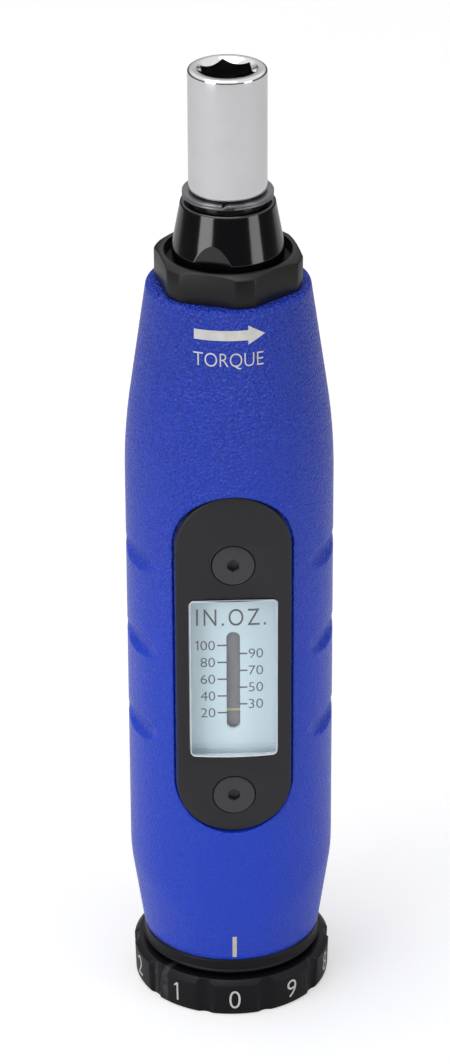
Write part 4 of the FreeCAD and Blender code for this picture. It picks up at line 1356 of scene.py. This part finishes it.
# ---------------------------------------------------------------- drive end
@dataclass
class DriveEnd:
    """Front nut, output spindle with its cone, retaining ring and chrome bit holder."""

    nut_foot: float = 104.3
    nut_top: float = 108.7
    nut_corner: float = 9.75
    nut_width: float = 18.0
    nut_turn: float = 101.2
    crown: float = 8.8
    crown_angle: float = 30.0
    mouth: float = 8.3
    stem: float = 7.22
    cone_foot: float = 107.4
    cone_radius: float = 7.3
    cone_top: float = 115.5
    cone_top_radius: float = 6.18
    cone_bend: float = 109.2
    cone_taper: float = 6.0
    flat: float = 6.85
    flat_turn: float = -19.0
    holder: float = 5.085
    holder_foot: float = 117.07
    holder_top: float = 133.35
    hex_width: float = 6.4
    hex_turn: float = 97.4
    hex_depth: float = 11.0
    hex_mouth: float = 3.87
    magnet_reach: float = 2.42
    ring_foot: float = 116.25
    ring_inner: float = 4.67
    ring_outer: float = 5.9
    ring_thickness: float = 0.3

    def nut(self) -> bpy.types.Object:
        """Hexagon nut cut from round bar, with a crowned top and a threaded stem.

        The side's reach is the softened smaller of the bar's radius and the flat distance over the
        cosine of the angle from the flat. The crown starts where its slope meets that side.

        Returns:
            The nut.
        """
        turn = full_turn(360, self.nut_turn)
        side = soft_min(self.nut_corner, self.nut_width / 2 / np.cos(past_flat(turn, self.nut_turn)), 0.04)
        slope = math.tan(math.radians(self.crown_angle))
        foot, top, crown, mouth, stem = self.nut_foot, self.nut_top, self.crown, self.mouth, self.stem
        edge = top - (side - crown) * slope
        return shaped("drive_nut", turn, [
            (stem, 93.8), (8.8, 93.8), (8.98, 94.0), (8.98, foot), (side - 0.1, foot),
            (side - 0.02, foot + 0.03), (side, foot + 0.1), (side, edge - 0.1), (side - 0.025, edge - 0.03),
            (side - 0.1, edge + 0.1 * slope), ((side + crown) / 2, (edge + top) / 2),
            (crown + 0.08, top - 0.08 * slope), (crown - 0.04, top), (mouth + 0.16, top),
            (mouth + 0.03, top - 0.04), (mouth, top - 0.2), (mouth, top - 2.5), (stem, top - 2.5),
        ], 24.0, ring=True)

    def spindle(self) -> bpy.types.Object:
        """Cone with two wrench flats above a journal that runs down to the cam plate.

        The cone's reach is the smaller of its radius and the flat distance over the cosine of the angle
        from the flat, with the corner between them just softened.

        Returns:
            The spindle.
        """
        turn = full_turn(360)
        flat = self.flat / np.maximum(np.abs(np.cos(turn - math.radians(self.flat_turn))), 0.3)
        heights = np.linspace(self.cone_foot + 0.1, self.cone_top - 0.3, 60)
        taper = (self.cone_radius - self.cone_top_radius) / self.cone_taper
        cone = self.cone_radius - np.clip(heights - self.cone_bend, 0, None) * taper
        outline = np.concatenate([
            [(1.52, 97.8), (1.52, 89.0), (3.7, 89.0), (3.7, 91.0), (5.5, 91.0), (5.5, 107.4), (7.2, 107.4)],
            np.stack([cone, heights], axis=-1),
            [(6.15, 115.3), (6.06, 115.41), (5.92, 115.48), (5.8, 115.5), (5.0, 115.5), (5.0, 116.2),
             (4.65, 116.23), (4.65, 116.9), (5.0, 116.93), (5.0, 117.07), (4.02, 117.07), (4.02, 105.05)],
        ])
        reach, height = outline[:, :1], outline[:, 1:]
        on_cone = (height >= self.cone_foot) & (reach > 5.9)
        rows = np.where(on_cone, soft_min(reach, flat, 0.02), reach)
        return shaped("drive_cone", turn, zip(rows, height), 30.0)

    def ring(self) -> bpy.types.Object:
        """Flat ring wound in two turns.

        A rounded strip is carried along a turn of 704 degrees. Its height rises by one thickness over
        eight degrees, where one turn passes to the next.

        Returns:
            The ring.
        """
        sweep = np.linspace(0, 704, 353)[:, None]
        thick, inner, outer = self.ring_thickness, self.ring_inner, self.ring_outer
        rise = eased((sweep - 344) / 8) * (thick + 0.03)
        strip = softened([(inner, 0, 0), (outer, 0, 0.08), (outer, thick, 0.08), (inner, thick, 0)])
        skin = Skin()
        skin.join(skin.add(on_axis(strip[:, 0], np.radians(sweep + 6), self.ring_foot + strip[:, 1] + rise)),
                  capped=True)
        return skin.piece("wound_ring", 38.0)

    def bit_holder(self) -> bpy.types.Object:
        """Chrome holder with rounded rims and a hexagonal socket under a cone-shaped mouth.

        Inside the mouth the cone runs down until it meets the hexagon, at a depth equal to the mouth's
        radius less the hexagon's reach.

        Returns:
            The holder.
        """
        turn = full_turn(360, self.hex_turn)
        hexagon = self.hex_width / 2 / np.cos(past_flat(turn, self.hex_turn))
        foot, top, holder, mouth = self.holder_foot, self.holder_top, self.holder, self.hex_mouth
        meet, floor = top - (mouth - hexagon), top - self.hex_depth
        outline = np.concatenate([
            [(4.0, 105.07), (4.0, foot)], arc((holder - 0.3, foot + 0.3), 0.3, -90, 0, 7),
            spread([(holder, foot + 0.5), (holder, top - 0.6)], 2.0),
            arc((holder - 0.42, top - 0.42), 0.42, 0, 90, 11),
            [(mouth + 0.14, top), (mouth + 0.04, top - 0.02)],
        ])
        return shaped("holder", turn, [
            *outline, (mouth - 0.03, top - 0.09), (hexagon + 0.05, meet + 0.05), (hexagon, meet - 0.02),
            (hexagon, (meet + floor) / 2), (hexagon, floor), (self.magnet_reach, floor),
            (self.magnet_reach, floor - 3.02),
        ], 32.0)

    def build(self, wardrobe: Wardrobe) -> None:
        """Makes the drive end's pieces."""
        wardrobe.fit(self.nut(), "black_oxide", "handle", "front_nut")
        wardrobe.fit(self.spindle(), "black_gloss", "driver", "output_spindle")
        wardrobe.fit(self.ring(), "ring_steel", "driver", "retaining_ring")
        wardrobe.fit(self.bit_holder(), "bright_chrome", "driver", "bit_holder")


# ---------------------------------------------------------------- clutch spring
@dataclass
class ClutchSpring:
    """Main spring between the spring cup and the clutch, which shortens as the cup rises."""

    wire: float = 1.9
    mean_radius: float = 6.1
    turns: float = 9.0
    cup_travel: float = 10.16
    end_coils: float = 5.0
    ground: float = 0.3

    def coil(self, name: str, low: float, high: float, first: float, last: float) -> bpy.types.Object:
        """Winds part of the spring.

        The wire's circle is carried up a helix with the pitch of the spring's length over its turns.
        Heights are held between the spring's two ends, which makes the ground faces.

        Args:
            name: name of the piece.
            low: foot of the whole spring.
            high: top of the whole spring.
            first: height of the wire's middle where the piece starts.
            last: height of the wire's middle where it ends.

        Returns:
            The new object.
        """
        radius, ring = self.wire / 2, full_turn(20)
        middle = np.linspace(first, last, max(24, int((last - first) * 16)))[:, None]
        turn = math.pi / 2 + (middle - low + radius) * self.turns / (high - low) * 2 * math.pi
        skin = Skin()
        skin.join(skin.add(on_axis(self.mean_radius + radius * np.cos(ring), turn,
                                   np.clip(middle + radius * np.sin(ring), low, high))), capped=True)
        return skin.piece(name, 50.0)

    def build(self, wardrobe: Wardrobe) -> None:
        """Makes the spring in two pieces: the coils, set on the handle, and the end coils, which are set on
        no body.
        """
        heights = [corner[2] / MM for corner in frame["nodes"]["main_spring"].bound_box]
        low, high = min(heights), max(heights)
        split, past = high - self.end_coils, self.ground * self.wire
        body = self.coil("clutch_coil", low, high, low - past, split)
        wardrobe.fit(body, "spring_steel", "handle", "main_spring")
        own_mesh(body)
        end = self.coil("clutch_coil_end", low, high, split, high + past)
        wardrobe.dress(end, "spring_steel")
        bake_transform(end)


# ---------------------------------------------------------------- studio
@dataclass
class Studio:
    """Camera, lamps, world and floor."""

    camera_place: tuple = (-0.0191, -0.4972, 0.3210)
    heading: float = 2.13084
    pitch: float = 26.98134
    roll: float = -0.302927
    lens: float = 141.985
    floor_radius: float = 500.0
    floor_glow: float = 0.4
    world_light: float = 0.3
    sky_heights: tuple = (0.12, 0.5)
    sky_change: tuple = (-0.24, 0.6)
    lamps: tuple = (
        ("overhead", (-0.25, -0.1, 1.5), (0, 0, 0.05), (1.2, 1.2), 12.0),
        ("left_strip", (-1.0, -0.8, 0.22), (0, 0, 0.1), (0.7, 0.9), 7.0),
        ("right_strip", (1.05, -0.65, 0.2), (0, 0, 0.1), (0.55, 0.8), 3.6),
    )

    def camera(self) -> None:
        """Makes the camera, turned by its heading from +Y towards +X, its downward pitch and its roll."""
        heading, pitch, roll = (math.radians(a) for a in (self.heading, self.pitch, self.roll))
        level = Vector((math.sin(heading), math.cos(heading), 0))
        right = Vector((math.cos(heading), -math.sin(heading), 0))
        ahead = level * math.cos(pitch) - Vector((0, 0, math.sin(pitch)))
        above = level * math.sin(pitch) + Vector((0, 0, math.cos(pitch)))
        side = right * math.cos(roll) + above * math.sin(roll)
        up = above * math.cos(roll) - right * math.sin(roll)
        data = bpy.data.cameras.new("camera")
        data.lens, data.sensor_width, data.clip_start, data.clip_end = self.lens, 36.0, 0.01, 100.0
        camera = bpy.data.objects.new("camera", data)
        camera.matrix_world = Matrix((
            (side.x, up.x, -ahead.x, self.camera_place[0]),
            (side.y, up.y, -ahead.y, self.camera_place[1]),
            (side.z, up.z, -ahead.z, self.camera_place[2]),
            (0, 0, 0, 1),
        ))
        bpy.context.scene.collection.objects.link(camera)
        bpy.context.scene.camera = camera

    @staticmethod
    def lamp(name: str, place: Sequence[float], aim: Sequence[float], size: tuple[float, float],
             power: float) -> None:
        """Adds a white rectangular softbox.

        Args:
            name: its name.
            place: where it hangs, in metres.
            aim: the point that it faces.
            size: width and height in metres.
            power: watts.
        """
        data = bpy.data.lights.new(name, "AREA")
        data.shape = "RECTANGLE"
        data.size, data.size_y = size
        data.energy = power
        lamp = bpy.data.objects.new(name, data)
        lamp.location = place
        lamp.rotation_mode = "QUATERNION"
        lamp.rotation_quaternion = (Vector(aim) - Vector(place)).to_track_quat("-Z", "Y")
        bpy.context.scene.collection.objects.link(lamp)

    def floor(self, effects: Effects) -> None:
        """Lays a pale round floor that is white to the camera and keeps the shadow."""
        skin = Skin()
        skin.cap(skin.add(on_axis(self.floor_radius, full_turn(96), 0.0)))
        floor = skin.piece("floor")
        if floor.data.polygons[0].normal.z < 0:
            floor.data.flip_normals()
        made = Finish("pale_floor")
        graph = made.graph
        paths = graph.node("LightPath")
        seen = graph.maths("MAXIMUM", paths.outputs["Is Camera Ray"], paths.outputs["Is Transmission Ray"])
        mottle = made.group(effects.grain, Size=4.0).outputs["Mottle"]
        made.set(Base_Color=graph.blend(mottle, (0.80, 0.80, 0.80, 1), (0.82, 0.82, 0.82, 1)),
                 Roughness=0.9, Specular_IOR_Level=0.0, Emission_Color=(1, 1, 1, 1),
                 Emission_Strength=graph.maths("MULTIPLY", seen, self.floor_glow))
        floor.data.materials.append(made.material)

    def world(self) -> None:
        """Sets a plain world: white behind the object, and in reflections dim low down, lighter above."""
        world = bpy.data.worlds.new("studio")
        bpy.context.scene.world = world
        world.use_nodes = True
        graph = Graph(world.node_tree)
        background = world.node_tree.nodes["Background"]
        paths = graph.node("LightPath")
        aim = graph.node("SeparateXYZ", None, Vector=graph.node("TexCoord").outputs["Generated"])
        sky = graph.ramp(aim.outputs["Z"], *self.sky_heights, *self.sky_change)
        glossy = graph.maths("MULTIPLY", paths.outputs["Is Glossy Ray"], sky)
        camera = graph.maths("MULTIPLY", paths.outputs["Is Camera Ray"], 1 - self.world_light)
        lit = graph.maths("ADD", self.world_light, glossy)
        graph.feed(background.inputs["Strength"], graph.maths("ADD", lit, camera))
        background.inputs["Color"].default_value = (1, 1, 1, 1)

    def build(self, effects: Effects) -> None:
        """Sets up the whole studio."""
        self.camera()
        self.world()
        self.floor(effects)
        for lamp in self.lamps:
            self.lamp(*lamp)
        bpy.context.scene.view_settings.view_transform = "Standard"


# ---------------------------------------------------------------- making
def dress_nodes(wardrobe: Wardrobe) -> None:
    """Gives every CAD node the finish of its material slot in the record."""
    finish_of = {row["node"]: row["material_slot"] for row in frame["record"]["subparts"]}
    for name, node in frame["nodes"].items():
        wardrobe.dress(node, finish_of[name])


def main() -> None:
    """Builds and dresses every sub-assembly in order, and sets up the studio."""
    logging.basicConfig(level=logging.INFO, format="%(name)s: %(message)s")
    wardrobe = Wardrobe()
    dress_nodes(wardrobe)
    handle = Handle()
    wardrobe.fit(handle.build(), "blue_crinkle", "handle", "handle_body")
    for assembly in (HandleMarks(handle), Window(), Dial(), DriveEnd(), ClutchSpring()):
        assembly.build(wardrobe)
    frame["nodes"]["window_lens"].visible_shadow = False
    Studio().build(wardrobe.effects)


if __name__ == "__main__":
    main()
